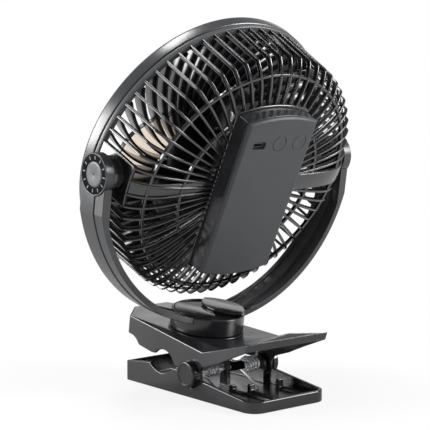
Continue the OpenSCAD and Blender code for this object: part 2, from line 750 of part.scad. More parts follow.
// A point of the dome moved inwards by a depth, square to the surface.
function dome_in(r, d) = let (s = dome_slope(r), k = d / sqrt(1 + s * s)) [r + s * k, dome(r) - k];
dome_rs = [for (k = [0.3, 0.6, 0.76, 0.83, 0.876, 0.91, 0.94, 0.97]) k * elbow_r];

module side_profile(d) {
    polygon(concat([for (r = dome_rs) [r, dome(r)]],
        [[elbow_r, elbow_v], [rim_r, rim_back_v - 1], [rim_r - d, rim_back_v - 1],
            [elbow_r - d, elbow_v - d * 0.5]],
        [for (i = [len(dome_rs) - 1:-1:0]) dome_in(dome_rs[i], d)]));
}

module dome_profile(d) {
    polygon(concat([for (r = dome_rs) [r, dome(r)]],
        [[elbow_r, elbow_v], [elbow_r - 0.3, elbow_v - d * 0.3], [elbow_r - d, elbow_v - d * 0.5]],
        [for (i = [len(dome_rs) - 1:-1:0]) dome_in(dome_rs[i], d)]));
}

// Stands a rib's profile up in the plane through the fan's axis at a clock angle.
module rib_plate(a, w) rotate(a - 90) rotate([90, 0, 0])
    translate([0, 0, -w / 2]) linear_extrude(w) children();

module box_plan(out) {
    x = box_w / 2 + out;
    bow = box_bow_r + out;
    rise = box_bow_r - sqrt(pow(box_bow_r, 2) - pow(box_w / 2, 2));
    intersection() {
        translate([-x, -90]) square([2 * x, 180]);
        translate([0, box_bow_r - box_top - rise]) circle(r = bow, $fn = 180);
        translate([0, box_bottom + rise - box_bow_r]) circle(r = bow, $fn = 180);
    }
}

module hoop(r) rotate_extrude($fn = 120) translate([r - hoop_w / 2, dome(r) - cage_rib_d + 0.2])
    square([hoop_w, cage_rib_d - 0.4]);

function on_arm(a) = abs(sin(a)) > cos(panel_half);
module rear_cage() color("#6d6f72") difference() {
    at_v(0) {
        for (i = [0:cage_ribs - 1]) if (!on_arm(i * 360 / cage_ribs))
            rib_plate(i * 360 / cage_ribs, cage_rib_w) side_profile(cage_rib_d);
        for (s = [-1, 1]) {
            rib_plate(90 * s, 2 * arm_half) dome_profile(cage_rib_d * 0.7);
            rotate(90 * s - 90 - panel_half) rotate_extrude(angle = 2 * panel_half, $fn = 180)
                polygon([[rim_r - 3.2, rim_front_v + 1], [rim_r, rim_front_v + 1], [elbow_r, elbow_v],
                    [elbow_r - 3.2, elbow_v - 1.5]]);
        }
        rotate_extrude($fn = 180) polygon([[rim_r - 4, rim_front_v], [rim_r + 0.7, rim_front_v],
            [rim_r + 1.1, rim_front_v + 0.6], [rim_r + 0.6, rim_back_v], [rim_r - 4, rim_back_v]]);
        rotate_extrude($fn = 180) polygon([[ring_bore_r - 2.4, rim_front_v - spigot_len],
            [ring_bore_r - seat_gap, rim_front_v - spigot_len], [ring_bore_r - seat_gap, rim_front_v + 0.5],
            [ring_bore_r - 2.4, rim_front_v + 0.5]]);
        hoop(hoop_outer_r);
        hoop(hoop_inner_r);
        translate([0, 0, box_front + 2.5]) linear_extrude(dome(30) - box_front - 2.5) box_plan(2.2);
        for (s = [-1, 1]) translate([s * boss_in_x, 0, 0]) sideways(s)
            cylinder(r = tilt_boss_r, h = boss_face_x - boss_in_x);
    }
    at_v(0) translate([0, 0, box_front - 5]) linear_extrude(30) box_plan(seat_gap);
    at_v(0) tilt_bores(tilt_bolt_d / 2);
}

// ---- Lamp ---------------------------------------------------------------
lamp_back_v = grille_front_v;
lamp_front_v = lamp_back_v - lamp_t;

module lamp_back() color("#fdecde") at_uwv(lamp_u, lamp_w, lamp_back_v - lamp_wall)
    cylinder(r = lamp_r - 0.8, h = lamp_wall, $fn = 120);

module lamp_board() color("white") at_uwv(lamp_u, lamp_w, lamp_back_v - lamp_wall - 1) {
    tube(lamp_r - 3, 8, 1);
    for (i = [0:11]) rotate(i * 30) translate([lamp_r - 12, -1.4, -0.6]) cube([2.8, 2.8, 0.8]);
}

module lamp_lens() color("#fdecde") at_uwv(lamp_u, lamp_w, lamp_front_v) difference() {
    union() {
        cylinder(r = lamp_r - 1.6, h = 0.8, $fn = 120);
        translate([0, 0, 0.7]) cylinder(r = lamp_r - 0.8, h = lamp_t - lamp_wall - 0.7, $fn = 120);
    }
    translate([0, 0, lamp_wall]) cylinder(r = lamp_r - 2.4, h = lamp_t, $fn = 120);
}

module lamp_rim() color("#3a3b3d") at_uwv(lamp_u, lamp_w, lamp_front_v + 0.8)
    tube(lamp_r, lamp_r - 0.8, lamp_t - 0.8, $fn = 120);

// ---- Fan and motor ------------------------------------------------------
hub_front_v = -6;
hub_len = 16;
can_front_v = box_front - 0.1 - motor_len;
can_wall = 1.4;
end_plate_t = 1.6;
motor_screw_ring = motor_r - 6;
magnet_r = motor_r - can_wall - 6.4;
front_bearing_v = can_front_v + can_wall;
rear_bearing_v = box_front - 0.1 - end_plate_t - bearing_w;

blade_in_r = hub_r - 1;
blade_step = (blade_r - blade_in_r) / 3;
module blade() linear_extrude(height = blade_depth, twist = -blade_span, slices = 8, $fn = 8)
    polygon(concat([for (k = [0:3]) [blade_in_r + k * blade_step, blade_t / 2]],
        [for (k = [3:-1:0]) [blade_in_r + k * blade_step, -blade_t / 2]]));

module fan_blade() color("#101011") at_v(hub_front_v) {
    for (i = [0:blades - 1]) rotate(i * 360 / blades) translate([0, 0, 0.5]) blade();
    difference() {
        union() {
            cylinder(r = hub_r - 1.2, h = 1);
            translate([0, 0, 1]) cylinder(r = hub_r, h = hub_len - 1);
        }
        translate([0, 0, 6]) cylinder(r = motor_r + 1.4, h = hub_len);
        translate([0, 0, 1.5]) cylinder(r = shaft_d / 2, h = 20);
    }
}

module motor_shaft() color("silver") at_v(hub_front_v + 1.5)
    cylinder(r = shaft_d / 2, h = rear_bearing_v + bearing_w + 0.4 - hub_front_v - 1.5);

module motor_bearings() color("lightgray") for (v = [front_bearing_v, rear_bearing_v]) at_v(v)
    tube(bearing_d / 2, shaft_d / 2 + run_gap / 2, bearing_w);

module motor_can() color("dimgray") at_v(can_front_v) difference() {
    cylinder(r = motor_r, h = motor_len - end_plate_t);
    translate([0, 0, can_wall]) difference() {
        cylinder(r = motor_r - can_wall, h = motor_len);
        cylinder(r = bearing_d / 2 + 1.4, h = bearing_w);
    }
    translate([0, 0, can_wall]) cylinder(r = bearing_d / 2, h = 8);
    translate([0, 0, -1]) cylinder(r = bearing_d / 2 - 1.2, h = 8);
}

module motor_end_plate() color("gray") at_v(box_front - 0.1 - end_plate_t) difference() {
    union() {
        cylinder(r = motor_r, h = end_plate_t);
        translate([0, 0, -bearing_w]) cylinder(r = bearing_d / 2 + 1.4, h = bearing_w + 0.5);
    }
    translate([0, 0, -bearing_w - 1]) cylinder(r = bearing_d / 2, h = bearing_w + 1);
    translate([0, 0, -5]) cylinder(r = bearing_d / 2 - 1.2, h = 10);
    for (a = [30:120:270]) rotate(a) translate([motor_screw_ring, 0, -1]) cylinder(r = 1.25, h = 4);
}

module motor_screws() color("silver") for (a = [30:120:270]) at_v(box_front + base_t)
    rotate(a) translate([motor_screw_ring, 0, 0]) mirror([0, 0, 1]) screw(2.5, base_t + 1.5);

stator_v0 = front_bearing_v + bearing_w + 1.2;
stator_v1 = rear_bearing_v - 1.2;
module stator_core() color("#8a4b20") at_v(stator_v0) difference() {
    tube(motor_r - can_wall, magnet_r + 0.6, stator_v1 - stator_v0);
    for (a = [0:40:320]) rotate(a) translate([magnet_r + 2, 0, -1]) cylinder(r = 1.5, h = 20);
}

module rotor_magnet() color("#2b2b30") at_v(stator_v0) tube(magnet_r, shaft_d / 2, stator_v1 - stator_v0);

// ---- Control box --------------------------------------------------------
cover_seat_v = box_face - cover_h;
cover_t = box_wall;
base_t = 1.5;
post_u = box_w / 2 - 4.6;
post_w_top = 54;
post_w_low = -55;
cell_v = box_front + base_t + 1.7 + cell_d / 2;
cell_w0 = -47;
board_v = 37.2;
board_w0 = 26.5;

module at_posts() for (u = [-post_u, post_u]) for (w = [post_w_low, post_w_top])
    translate([u, -w, 0]) children();
module at_board_posts() for (u = [-board_w / 2 + 3, board_w / 2 - 3])
    for (w = [board_w0 + 2.5, board_w0 + board_h - 6]) translate([u, -w, 0]) children();

module control_box() color("#505254") at_v(box_front) difference() {
    union() {
        difference() {
            linear_extrude(cover_seat_v - box_front) box_plan(0);
            translate([0, 0, base_t]) linear_extrude(40) box_plan(-box_wall);
        }
        at_posts() cylinder(r = 3, h = cover_seat_v - box_front);
        at_board_posts() cylinder(r = 2, h = board_v - box_front);
    }
    at_posts() translate([0, 0, -1]) cylinder(r = 1.3, h = 40);
    for (a = [30:120:270]) rotate(a) translate([motor_screw_ring, 0, -1]) cylinder(r = 1.35, h = 5);
}

// A rectangle with round corners, about its middle.
module round_slot(w, h, r) {
    square([w - 2 * r, h], center = true);
    square([w, h - 2 * r], center = true);
    for (x = [-1, 1]) for (y = [-1, 1]) translate([x * (w / 2 - r), y * (h / 2 - r)]) circle(r = r);
}

// The cover's outline with a chamfer all round its face.
module cover_solid() {
    rise = box_bow_r - sqrt(pow(box_bow_r, 2) - pow(box_w / 2, 2));
    x = box_w / 2;
    c = cover_chamfer;
    h = cover_h;
    intersection() {
        fore_aft(-90, 90) polygon([[-x, 0], [x, 0], [x, h - c], [x - c, h], [c - x, h], [-x, h - c]]);
        translate([0, box_bow_r - box_top - rise, 0]) cover_bow();
        translate([0, box_bottom + rise - box_bow_r, 0]) cover_bow();
    }
}
module cover_bow() rotate_extrude($fn = 180) polygon([[0, 0], [box_bow_r, 0],
    [box_bow_r, cover_h - cover_chamfer], [box_bow_r - cover_chamfer, cover_h], [0, cover_h]]);

module box_cover() color("#58595b") at_v(cover_seat_v) difference() {
    union() {
        difference() {
            cover_solid();
            translate([0, 0, -1]) linear_extrude(1 + cover_h - cover_t) box_plan(-box_wall - 1.2);
        }
        translate([0, 0, -1.6]) difference() {
            linear_extrude(2) box_plan(-box_wall - seat_gap);
            translate([0, 0, -1]) linear_extrude(4) box_plan(-box_wall - 1.3);
            at_posts() cylinder(r = 4, h = 8, center = true);
        }
        for (u = [power_u, light_u]) translate([u, -button_w, cover_h - cover_t - 1.6])
            tube(button_d / 2 + 1.1, button_d / 2 + slide_gap, 2);
        translate([port_u, -port_w, cover_h - cover_t / 2 - 1.5])
            cube([port_recess_w + 2, port_recess_h + 2, 3], center = true);
    }
    for (u = [power_u, light_u]) translate([u, -button_w, -5]) cylinder(r = button_d / 2 + slide_gap, h = 20);
    translate([port_u, -port_w, cover_h - 2.5]) linear_extrude(4) round_slot(port_recess_w, port_recess_h, 2);
    translate([port_u, -port_w, 0]) cube([9.3, 3.6, 20], center = true);
    at_posts() translate([0, 0, -1]) cylinder(r = 1.1, h = 2.6);
}

module box_screws() color("silver") at_v(box_front) at_posts()
    screw(2.2, cover_seat_v - box_front + 1.4);

module battery_cells() color("#2f6f9f") for (s = [-1, 1])
    in_head() translate([s * (cell_d / 2 + 0.4), cell_v, cell_w0]) {
        cylinder(r = cell_d / 2, h = cell_len - 1);
        translate([0, 0, cell_len - 1.1]) cylinder(r = 3, h = 1.1);
    }

module battery_bracket() color("#202123") in_head() for (w = [cell_w0 - 1.7, cell_w0 + cell_len + 0.1])
    translate([-cell_d - 1, box_front + base_t, w]) cube([2 * cell_d + 2, cell_d * 0.7, 1.6]);

module circuit_board() color("#1d5a34") at_v(board_v) difference() {
    translate([-board_w / 2, -board_w0 - board_h, 0]) cube([board_w, board_h, board_t]);
    at_posts() translate([0, 0, -1]) cylinder(r = 3.3, h = 5);
}

switch_h = 1.6;
stem_base_v = board_v + board_t + switch_h;
module tact_switches() color("#1a1a1b") for (u = [power_u, light_u])
    at_uwv(u, button_w, board_v + board_t) {
        translate([-3, -3, 0]) cube([6, 6, switch_h - 0.6]);
        cylinder(r = 1.6, h = switch_h - 0.1 - button_travel + 0.6);
    }

module usb_c_port() color("silver") at_uwv(port_u, port_w, board_v + board_t) difference() {
    translate([-4.5, -1.65, 0]) cube([9, 3.3, 5.6]);
    translate([-4, -1.2, 1.2]) difference() {
        cube([8, 2.4, 8]);
        translate([1, 0.85, -1]) cube([6, 0.7, 5]);
    }
}

module button(u) color("#56585a") at_uwv(u, button_w, box_face - 2.4) {
    cylinder(r = button_d / 2, h = 2.0);
    cylinder(r = button_d / 2 - 0.4, h = 2.4);
    translate([0, 0, stem_base_v + button_travel - box_face + 2.4 - 0.1])
        cylinder(r = 2, h = box_face - stem_base_v - button_travel - 2.2);
}
module power_button() button(power_u);
module light_button() button(light_u);

lower_jaw();
upper_jaw();
clamp_pin();
pin_cap_left();
pin_cap_right();
pin_sleeve();
clamp_spring_left();
clamp_spring_right();
swivel_base();
swivel_base_screws();
thrust_washer();
swivel_hub();
swivel_washer();
swivel_screw();
lock_knob();
yoke_front();
yoke_rear();
tilt_dial_left();
tilt_dial_right();
dial_cap_left();
dial_cap_right();
tilt_bolt_left();
tilt_bolt_right();
tilt_washer_left();
tilt_washer_right();
front_ring();
front_grille();
rear_cage();
lamp_back();
lamp_board();
lamp_lens();
lamp_rim();
fan_blade();
motor_shaft();
rotor_magnet();
stator_core();
motor_can();
motor_end_plate();
motor_bearings();
motor_screws();
control_box();
box_cover();
box_screws();
battery_cells();
battery_bracket();
circuit_board();
tact_switches();
usb_c_port();
power_button();
light_button();
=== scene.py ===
"""A portable camping fan: a caged head in a yoke, on a swivel hub and a spring clamp."""

import logging
import math
from dataclasses import dataclass, field
from enum import Enum
from typing import Callable, Iterable, Sequence

import bmesh
import bpy
from mathutils import Matrix, Vector


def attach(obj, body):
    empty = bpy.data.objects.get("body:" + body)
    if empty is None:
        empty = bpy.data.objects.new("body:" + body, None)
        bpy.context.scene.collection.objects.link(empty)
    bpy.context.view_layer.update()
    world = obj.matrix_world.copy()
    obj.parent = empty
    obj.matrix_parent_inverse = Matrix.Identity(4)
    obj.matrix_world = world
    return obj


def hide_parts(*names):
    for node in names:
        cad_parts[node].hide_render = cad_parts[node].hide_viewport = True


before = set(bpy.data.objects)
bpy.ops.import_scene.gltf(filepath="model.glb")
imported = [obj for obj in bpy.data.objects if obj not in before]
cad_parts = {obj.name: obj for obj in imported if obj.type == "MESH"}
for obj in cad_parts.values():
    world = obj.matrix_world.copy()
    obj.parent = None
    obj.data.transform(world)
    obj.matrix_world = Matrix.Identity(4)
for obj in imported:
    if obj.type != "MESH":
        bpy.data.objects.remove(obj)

MM = 0.001
Point = tuple[float, float, float]
Flat = tuple[float, float]
log = logging.getLogger("fan")


class Body(Enum):
    """The moving groups that a piece can ride on."""

    CLAMP_BASE = "clamp_base"
    CLAMP_TOP = "clamp_top"
    YOKE = "yoke"
    KNOB = "knob"
    HEAD = "head"
    ROTOR = "rotor"
    POWER = "power_push"
    LIGHT = "light_push"


@dataclass(frozen=True)
class Stance:
    """How the fan is set: where its tilt axis lies, and how hub and head lean."""

    pivot: Point = (0.0, 24.4, 166.9)
    hub_lean: float = 8.3
    head_tilt: float = 17.8

    def floor(self) -> Matrix:
        """Millimetres in the row frame to metres."""
        return Matrix.Scale(MM, 4)

    def hub(self) -> Matrix:
        """Millimetres in the hub's frame, +Z up its axis, to metres."""
        lean = Matrix.Rotation(math.radians(-self.hub_lean), 4, "X")
        return self.floor() @ Matrix.Translation(self.pivot) @ lean

    def head(self) -> Matrix:
        """Millimetres in the head's frame, +Y to the rear, to metres."""
        return self.hub() @ Matrix.Rotation(math.radians(-self.head_tilt), 4, "X")


STANCE = Stance()


# ---- Outlines and skins ---------------------------------------------------


def soft_rect(width: float, height: float, radius: float, steps: int = 2) -> list[Flat]:
    """The outline of a rectangle with round corners, about its middle.

    Args:
        width: Size along the first direction.
        height: Size along the second direction.
        radius: Radius of the corners.
        steps: Segments in each corner.

    Returns:
        Points, counter-clockwise.
    """
    points = []
    for quarter in range(4):
        sx = 1 if quarter in (0, 3) else -1
        sy = 1 if quarter in (0, 1) else -1
        for step in range(steps + 1):
            a = math.radians(90 * (quarter + step / steps))
            points.append((sx * (width / 2 - radius) + radius * math.cos(a),
                           sy * (height / 2 - radius) + radius * math.sin(a)))
    return points


def rounded(points: Sequence[Flat], radii: Sequence[float], steps: int = 3) -> list[Flat]:
    """Rounds the corners of a closed outline.

    Args:
        points: The corners, in order.
        radii: One radius for each corner, 0 for a sharp one.
        steps: Segments in each rounded corner.

    Returns:
        The outline with an arc in place of each rounded corner.
    """
    out: list[Flat] = []
    count = len(points)
    for i, (corner, radius) in enumerate(zip(points, radii)):
        here = Vector(corner)
        before = (Vector(points[i - 1]) - here).normalized()
        after = (Vector(points[(i + 1) % count]) - here).normalized()
        bend = before.angle(after, math.pi)
        if radius <= 0 or bend > math.radians(176):
            out.append(corner)
            continue
        reach = radius / math.tan(bend / 2)
        centre = here + (before + after).normalized() * (radius / math.sin(bend / 2))
        start = here + before * reach - centre
        end = here + after * reach - centre
        for step in range(steps + 1):
            spoke = start.lerp(end, step / steps)
            out.append(tuple(centre + spoke.normalized() * radius))
    return out


class Draft:
    """Collects the faces of one piece, in millimetres in one of the fan's frames."""

    def __init__(self, to_row: Matrix) -> None:
        """Starts an empty piece.

        Args:
            to_row: The frame that the points are given in, to metres in the row frame.
        """
        self.bm = bmesh.new()
        self.to_row = to_row

    def skin(self, rings: Sequence[Sequence[Sequence[float]]], looped: bool = False) -> "Draft":
        """Joins closed rings of points into one surface.

        Args:
            rings: Rings with the same number of points each.
            looped: Whether the last ring joins the first; otherwise both ends are capped.

        Returns:
            This draft.
        """
        rows = [[self.bm.verts.new(Vector(p)) for p in ring] for ring in rings]
        pairs = list(zip(rows, rows[1:])) + ([(rows[-1], rows[0])] if looped else [])
        for low, high in pairs:
            size = len(low)
            for i in range(size):
                j = (i + 1) % size
                self.bm.faces.new((low[i], low[j], high[j], high[i]))
        if not looped:
            self.bm.faces.new(list(reversed(rows[0])))
            self.bm.faces.new(rows[-1])
        return self

    def lathe(self, outline: Sequence[Flat], place: Callable[[float, float, float], Point],
              steps: int = 96, arc: tuple[float, float] | None = None) -> "Draft":
        """Turns a closed outline round an axis.

        Args:
            outline: Points as distance from the axis and place along it.
            place: Gives a point from distance, place along the axis and angle in radians.
            steps: Segments round the axis.
            arc: First and last angle in degrees, or None for a full turn.

        Returns:
            This draft.
        """
        first, last = arc or (0.0, 360.0)
        count = steps if arc is None else steps + 1
        rings = []
        for i in range(count):
            a = math.radians(first + (last - first) * i / steps)
            rings.append([place(r, t, a) for r, t in outline])
        return self.skin(rings, looped=arc is None)

    def prism(self, outline: Sequence[Flat], low: float, high: float,
              place: Callable[[float, float, float], Point], edge: float = 0.0) -> "Draft":
        """Stands an outline up into a solid with rounded rims.

        Args:
            outline: The outline's points.
            low: Where it starts along the third direction.
            high: Where it ends.
            place: Gives a point from the outline's two directions and the third.
            edge: Radius of the rounded rims.

        Returns:
            This draft.
        """
        middle = Vector((sum(p[0] for p in outline), sum(p[1] for p in outline))) / len(outline)
        levels = [(low, 0.0), (high, 0.0)]
        if edge > 0:
            turns = [math.radians(a) for a in (0, 30, 60, 90)]
            levels = [(low + edge * (1 - math.sin(a)), edge * (1 - math.cos(a))) for a in reversed(turns)]
            levels += [(high - edge * (1 - math.sin(a)), edge * (1 - math.cos(a))) for a in turns]
        rings = []
        for height, inset in levels:
            ring = []
            for point in outline:
                out = Vector(point) - middle
                shrunk = middle + out * max(0.0, 1 - inset / max(out.length, 1e-6))
                ring.append(place(shrunk.x, shrunk.y, height))
            rings.append(ring)
        return self.skin(rings)

    def piece(self, name: str, finish: "Finish", body: Body, slot: str,
              replaces: Sequence[str] = (), sharp: float = 40.0) -> bpy.types.Object:
        """Makes the collected faces into a finished piece.

        Args:
            name: The piece's name.
            finish: Its surface.
            body: The body that it rides on.
            slot: Not used; the material slot meant for the piece.
            replaces: The solids that it stands for.
            sharp: Edges over this angle in degrees stay sharp in shading.

        Returns:
            The new object.
        """
        self.bm.transform(self.to_row)
        bmesh.ops.recalc_face_normals(self.bm, faces=self.bm.faces)
        mesh = bpy.data.meshes.new(name)
        self.bm.to_mesh(mesh)
        self.bm.free()
        return settle(mesh, name, finish, body, replaces, sharp)


def settle(mesh: bpy.types.Mesh, name: str, finish: "Finish", body: Body,
           replaces: Sequence[str], sharp: float) -> bpy.types.Object:
    """Shades a mesh, dresses it and hangs it on its body.

    Args:
        mesh: The mesh, in metres in the row frame.
        name: The piece's name.
        finish: Its surface.
        body: The body that it rides on.
        replaces: The solids that it stands for.
        sharp: Edges over this angle in degrees stay sharp in shading.

    Returns:
        The new object.
    """
    mesh.shade_smooth()
    mesh.set_sharp_from_angle(angle=math.radians(sharp))
    obj = bpy.data.objects.new(name, mesh)
    bpy.context.scene.collection.objects.link(obj)
    obj.data.materials.clear()
    obj.data.materials.append(finish.material())
    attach(obj, body.value)
    if replaces:
        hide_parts(*replaces)
    return obj


@dataclass(frozen=True)
class Rounding:
    """Which edges of a copied solid are rounded, in degrees and millimetres; the weld is in metres."""

    weld: float = 2e-6
    flat: float = 0.6
    sharp: float = 34.0
    shortest: float = 0.6
    slim_share: float = 0.4
    segments: int = 3


ROUNDING = Rounding()


def softened(node: str, name: str, finish: "Finish", body: Body,
             width: float = 0.5, slim_from: float = 1e9, evened: bool = True) -> bpy.types.Object:
    """Copies a solid's shape and rounds its edges, as moulded or machined ones are.

    Args:
        node: The solid that is copied and replaced.
        name: The new piece's name.
        finish: Its surface.
        body: The body that it rides on.
        width: Width of the rounding in millimetres.
        slim_from: How far to the rear the rounding becomes finer, in millimetres.
        evened: Whether flat faces are shaded evenly, which would show a strap's slight bends.

    Returns:
        The new object.
    """
    bm = bmesh.new()
    bm.from_mesh(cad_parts[node].data)
    bmesh.ops.remove_doubles(bm, verts=bm.verts, dist=ROUNDING.weld)
    bmesh.ops.dissolve_limit(bm, angle_limit=math.radians(ROUNDING.flat), verts=bm.verts, edges=bm.edges)
    bmesh.ops.recalc_face_normals(bm, faces=bm.faces)
    weight = bm.edges.layers.float.new("bevel_weight_edge")
    for edge in bm.edges:
        sharp = edge.is_manifold and edge.calc_face_angle(0.0) > math.radians(ROUNDING.sharp)
        share = ROUNDING.slim_share if min(v.co.y for v in edge.verts) > slim_from * MM else 1.0
        edge[weight] = share if sharp and edge.calc_length() > ROUNDING.shortest * MM else 0.0
    mesh = bpy.data.meshes.new(name)
    bm.to_mesh(mesh)
    bm.free()
    obj = settle(mesh, name, finish, body, [node], ROUNDING.sharp)
    bevel = obj.modifiers.new("rounded edges", "BEVEL")
    bevel.width = width * MM
    bevel.segments = ROUNDING.segments
    bevel.limit_method = "WEIGHT"
    bevel.use_clamp_overlap = False
    if evened:
        shading = obj.modifiers.new("even shading", "WEIGHTED_NORMAL")
        shading.keep_sharp = True
    return obj


# ---- Surfaces -------------------------------------------------------------


class Sockets(Enum):
    """The kinds of socket that the shared effects have."""

    NUMBER = "NodeSocketFloat"
    COLOUR = "NodeSocketColor"


class Effect:
    """A shared effect as a node group, built once and placed in many surfaces."""

    def __init__(self, name: str, inputs: dict[str, float], outputs: dict[str, Sockets]) -> None:
        """Makes the empty group.

        Args:
            name: The group's name.
            inputs: Number inputs and their starting values.
            outputs: Outputs and their kinds.
        """
        self.tree = bpy.data.node_groups.new(name, "ShaderNodeTree")
        for label, value in inputs.items():
            sock = self.tree.interface.new_socket(name=label, in_out="INPUT",
                                                  socket_type=Sockets.NUMBER.value)
            sock.default_value = value
        for label, kind in outputs.items():
            self.tree.interface.new_socket(name=label, in_out="OUTPUT", socket_type=kind.value)
        self.inlet = self.tree.nodes.new("NodeGroupInput")
        self.outlet = self.tree.nodes.new("NodeGroupOutput")

    def node(self, kind: str, **settings: object) -> bpy.types.Node:
        """Adds a node and sets its properties.

        Args:
            kind: Blender's name for the kind of node.
            settings: Properties of the node and their values.

        Returns:
            The new node.
        """
        made = self.tree.nodes.new(kind)
        for key, value in settings.items():
            setattr(made, key, value)
        return made

    def join(self, source: bpy.types.NodeSocket, target: bpy.types.NodeSocket) -> None:
        """Links two sockets."""
        self.tree.links.new(source, target)


def build_grain() -> Effect:
    """The fine sparkle of a moulded or painted surface, as a height.

    Returns:
        The effect, with Scale and Coarse inputs and a Height output.
    """
    grain = Effect("moulded grain", {"Scale": 1500.0, "Coarse": 0.3}, {"Height": Sockets.NUMBER})
    place = grain.node("ShaderNodeTexCoord")
    fine = grain.node("ShaderNodeTexNoise", noise_dimensions="3D")
    fine.inputs["Detail"].default_value = 3.0
    fine.inputs["Roughness"].default_value = 0.6
    pores = grain.node("ShaderNodeTexVoronoi", feature="SMOOTH_F1")
    half = grain.node("ShaderNodeMath", operation="MULTIPLY")
    half.inputs[1].default_value = 0.45
    blend = grain.node("ShaderNodeMix", data_type="FLOAT")
    grain.join(place.outputs["Object"], fine.inputs["Vector"])
    grain.join(place.outputs["Object"], pores.inputs["Vector"])
    grain.join(grain.inlet.outputs["Scale"], fine.inputs["Scale"])
    grain.join(grain.inlet.outputs["Scale"], half.inputs[0])
    grain.join(half.outputs[0], pores.inputs["Scale"])
    grain.join(grain.inlet.outputs["Coarse"], blend.inputs["Factor"])
    grain.join(fine.outputs["Fac"], blend.inputs["A"])
    grain.join(pores.outputs["Distance"], blend.inputs["B"])
    grain.join(blend.outputs["Result"], grain.outlet.inputs["Height"])
    return grain


def build_handling() -> Effect:
    """Slow patches where a surface was wiped or handled, as a mask.

    Returns:
        The effect, with Scale and Contrast inputs and a Mask output.
    """
    patches = Effect("handling marks", {"Scale": 45.0, "Contrast": 1.0}, {"Mask": Sockets.NUMBER})
    place = patches.node("ShaderNodeTexCoord")
    cloud = patches.node("ShaderNodeTexNoise", noise_dimensions="3D")
    cloud.inputs["Detail"].default_value = 5.0
    cloud.inputs["Distortion"].default_value = 0.4
    spread = patches.node("ShaderNodeMapRange")
    spread.inputs["From Min"].default_value = 0.35
    spread.inputs["From Max"].default_value = 0.65
    power = patches.node("ShaderNodeMath", operation="POWER", use_clamp=True)
    patches.join(place.outputs["Object"], cloud.inputs["Vector"])
    patches.join(patches.inlet.outputs["Scale"], cloud.inputs["Scale"])
    patches.join(cloud.outputs["Fac"], spread.inputs["Value"])
    patches.join(spread.outputs["Result"], power.inputs[0])
    patches.join(patches.inlet.outputs["Contrast"], power.inputs[1])
    patches.join(power.outputs[0], patches.outlet.inputs["Mask"])
    return patches


def build_edge_highlights() -> Effect:
    """Painted highlights along edges where a surface turns sharply, partly also edge wear, as a mask.

    Returns:
        The effect, with Radius and Gain inputs and a Mask output.
    """
    edge_light = Effect("painted edge highlights", {"Radius": 0.0006, "Gain": 5.0}, {"Mask": Sockets.NUMBER})
    softer = edge_light.node("ShaderNodeBevel", samples=4)
    shape = edge_light.node("ShaderNodeNewGeometry")
    same = edge_light.node("ShaderNodeVectorMath", operation="DOT_PRODUCT")
    turned = edge_light.node("ShaderNodeMath", operation="SUBTRACT", use_clamp=True)
    turned.inputs[0].default_value = 1.0
    stronger = edge_light.node("ShaderNodeMath", operation="MULTIPLY", use_clamp=True)
    edge_light.join(edge_light.inlet.outputs["Radius"], softer.inputs["Radius"])
    edge_light.join(softer.outputs["Normal"], same.inputs[0])
    edge_light.join(shape.outputs["Normal"], same.inputs[1])
    edge_light.join(same.outputs["Value"], turned.inputs[1])
    edge_light.join(turned.outputs[0], stronger.inputs[0])
    edge_light.join(edge_light.inlet.outputs["Gain"], stronger.inputs[1])
    edge_light.join(stronger.outputs[0], edge_light.outlet.inputs["Mask"])
    return edge_light


EFFECTS: dict[str, Effect] = {}


class MixView:
    """Names the colour sockets of a Mix node, which share their labels with others."""

    def __init__(self, node: bpy.types.Node) -> None:
        """Finds the colour sockets.

        Args:
            node: A Mix node that is set to colours.
        """
        colours = [s for s in node.inputs if s.type == "RGBA"]
        self.inputs = {"Factor": node.inputs[0], "A": colours[0], "B": colours[1]}
        self.outputs = {"Result": next(s for s in node.outputs if s.type == "RGBA")}


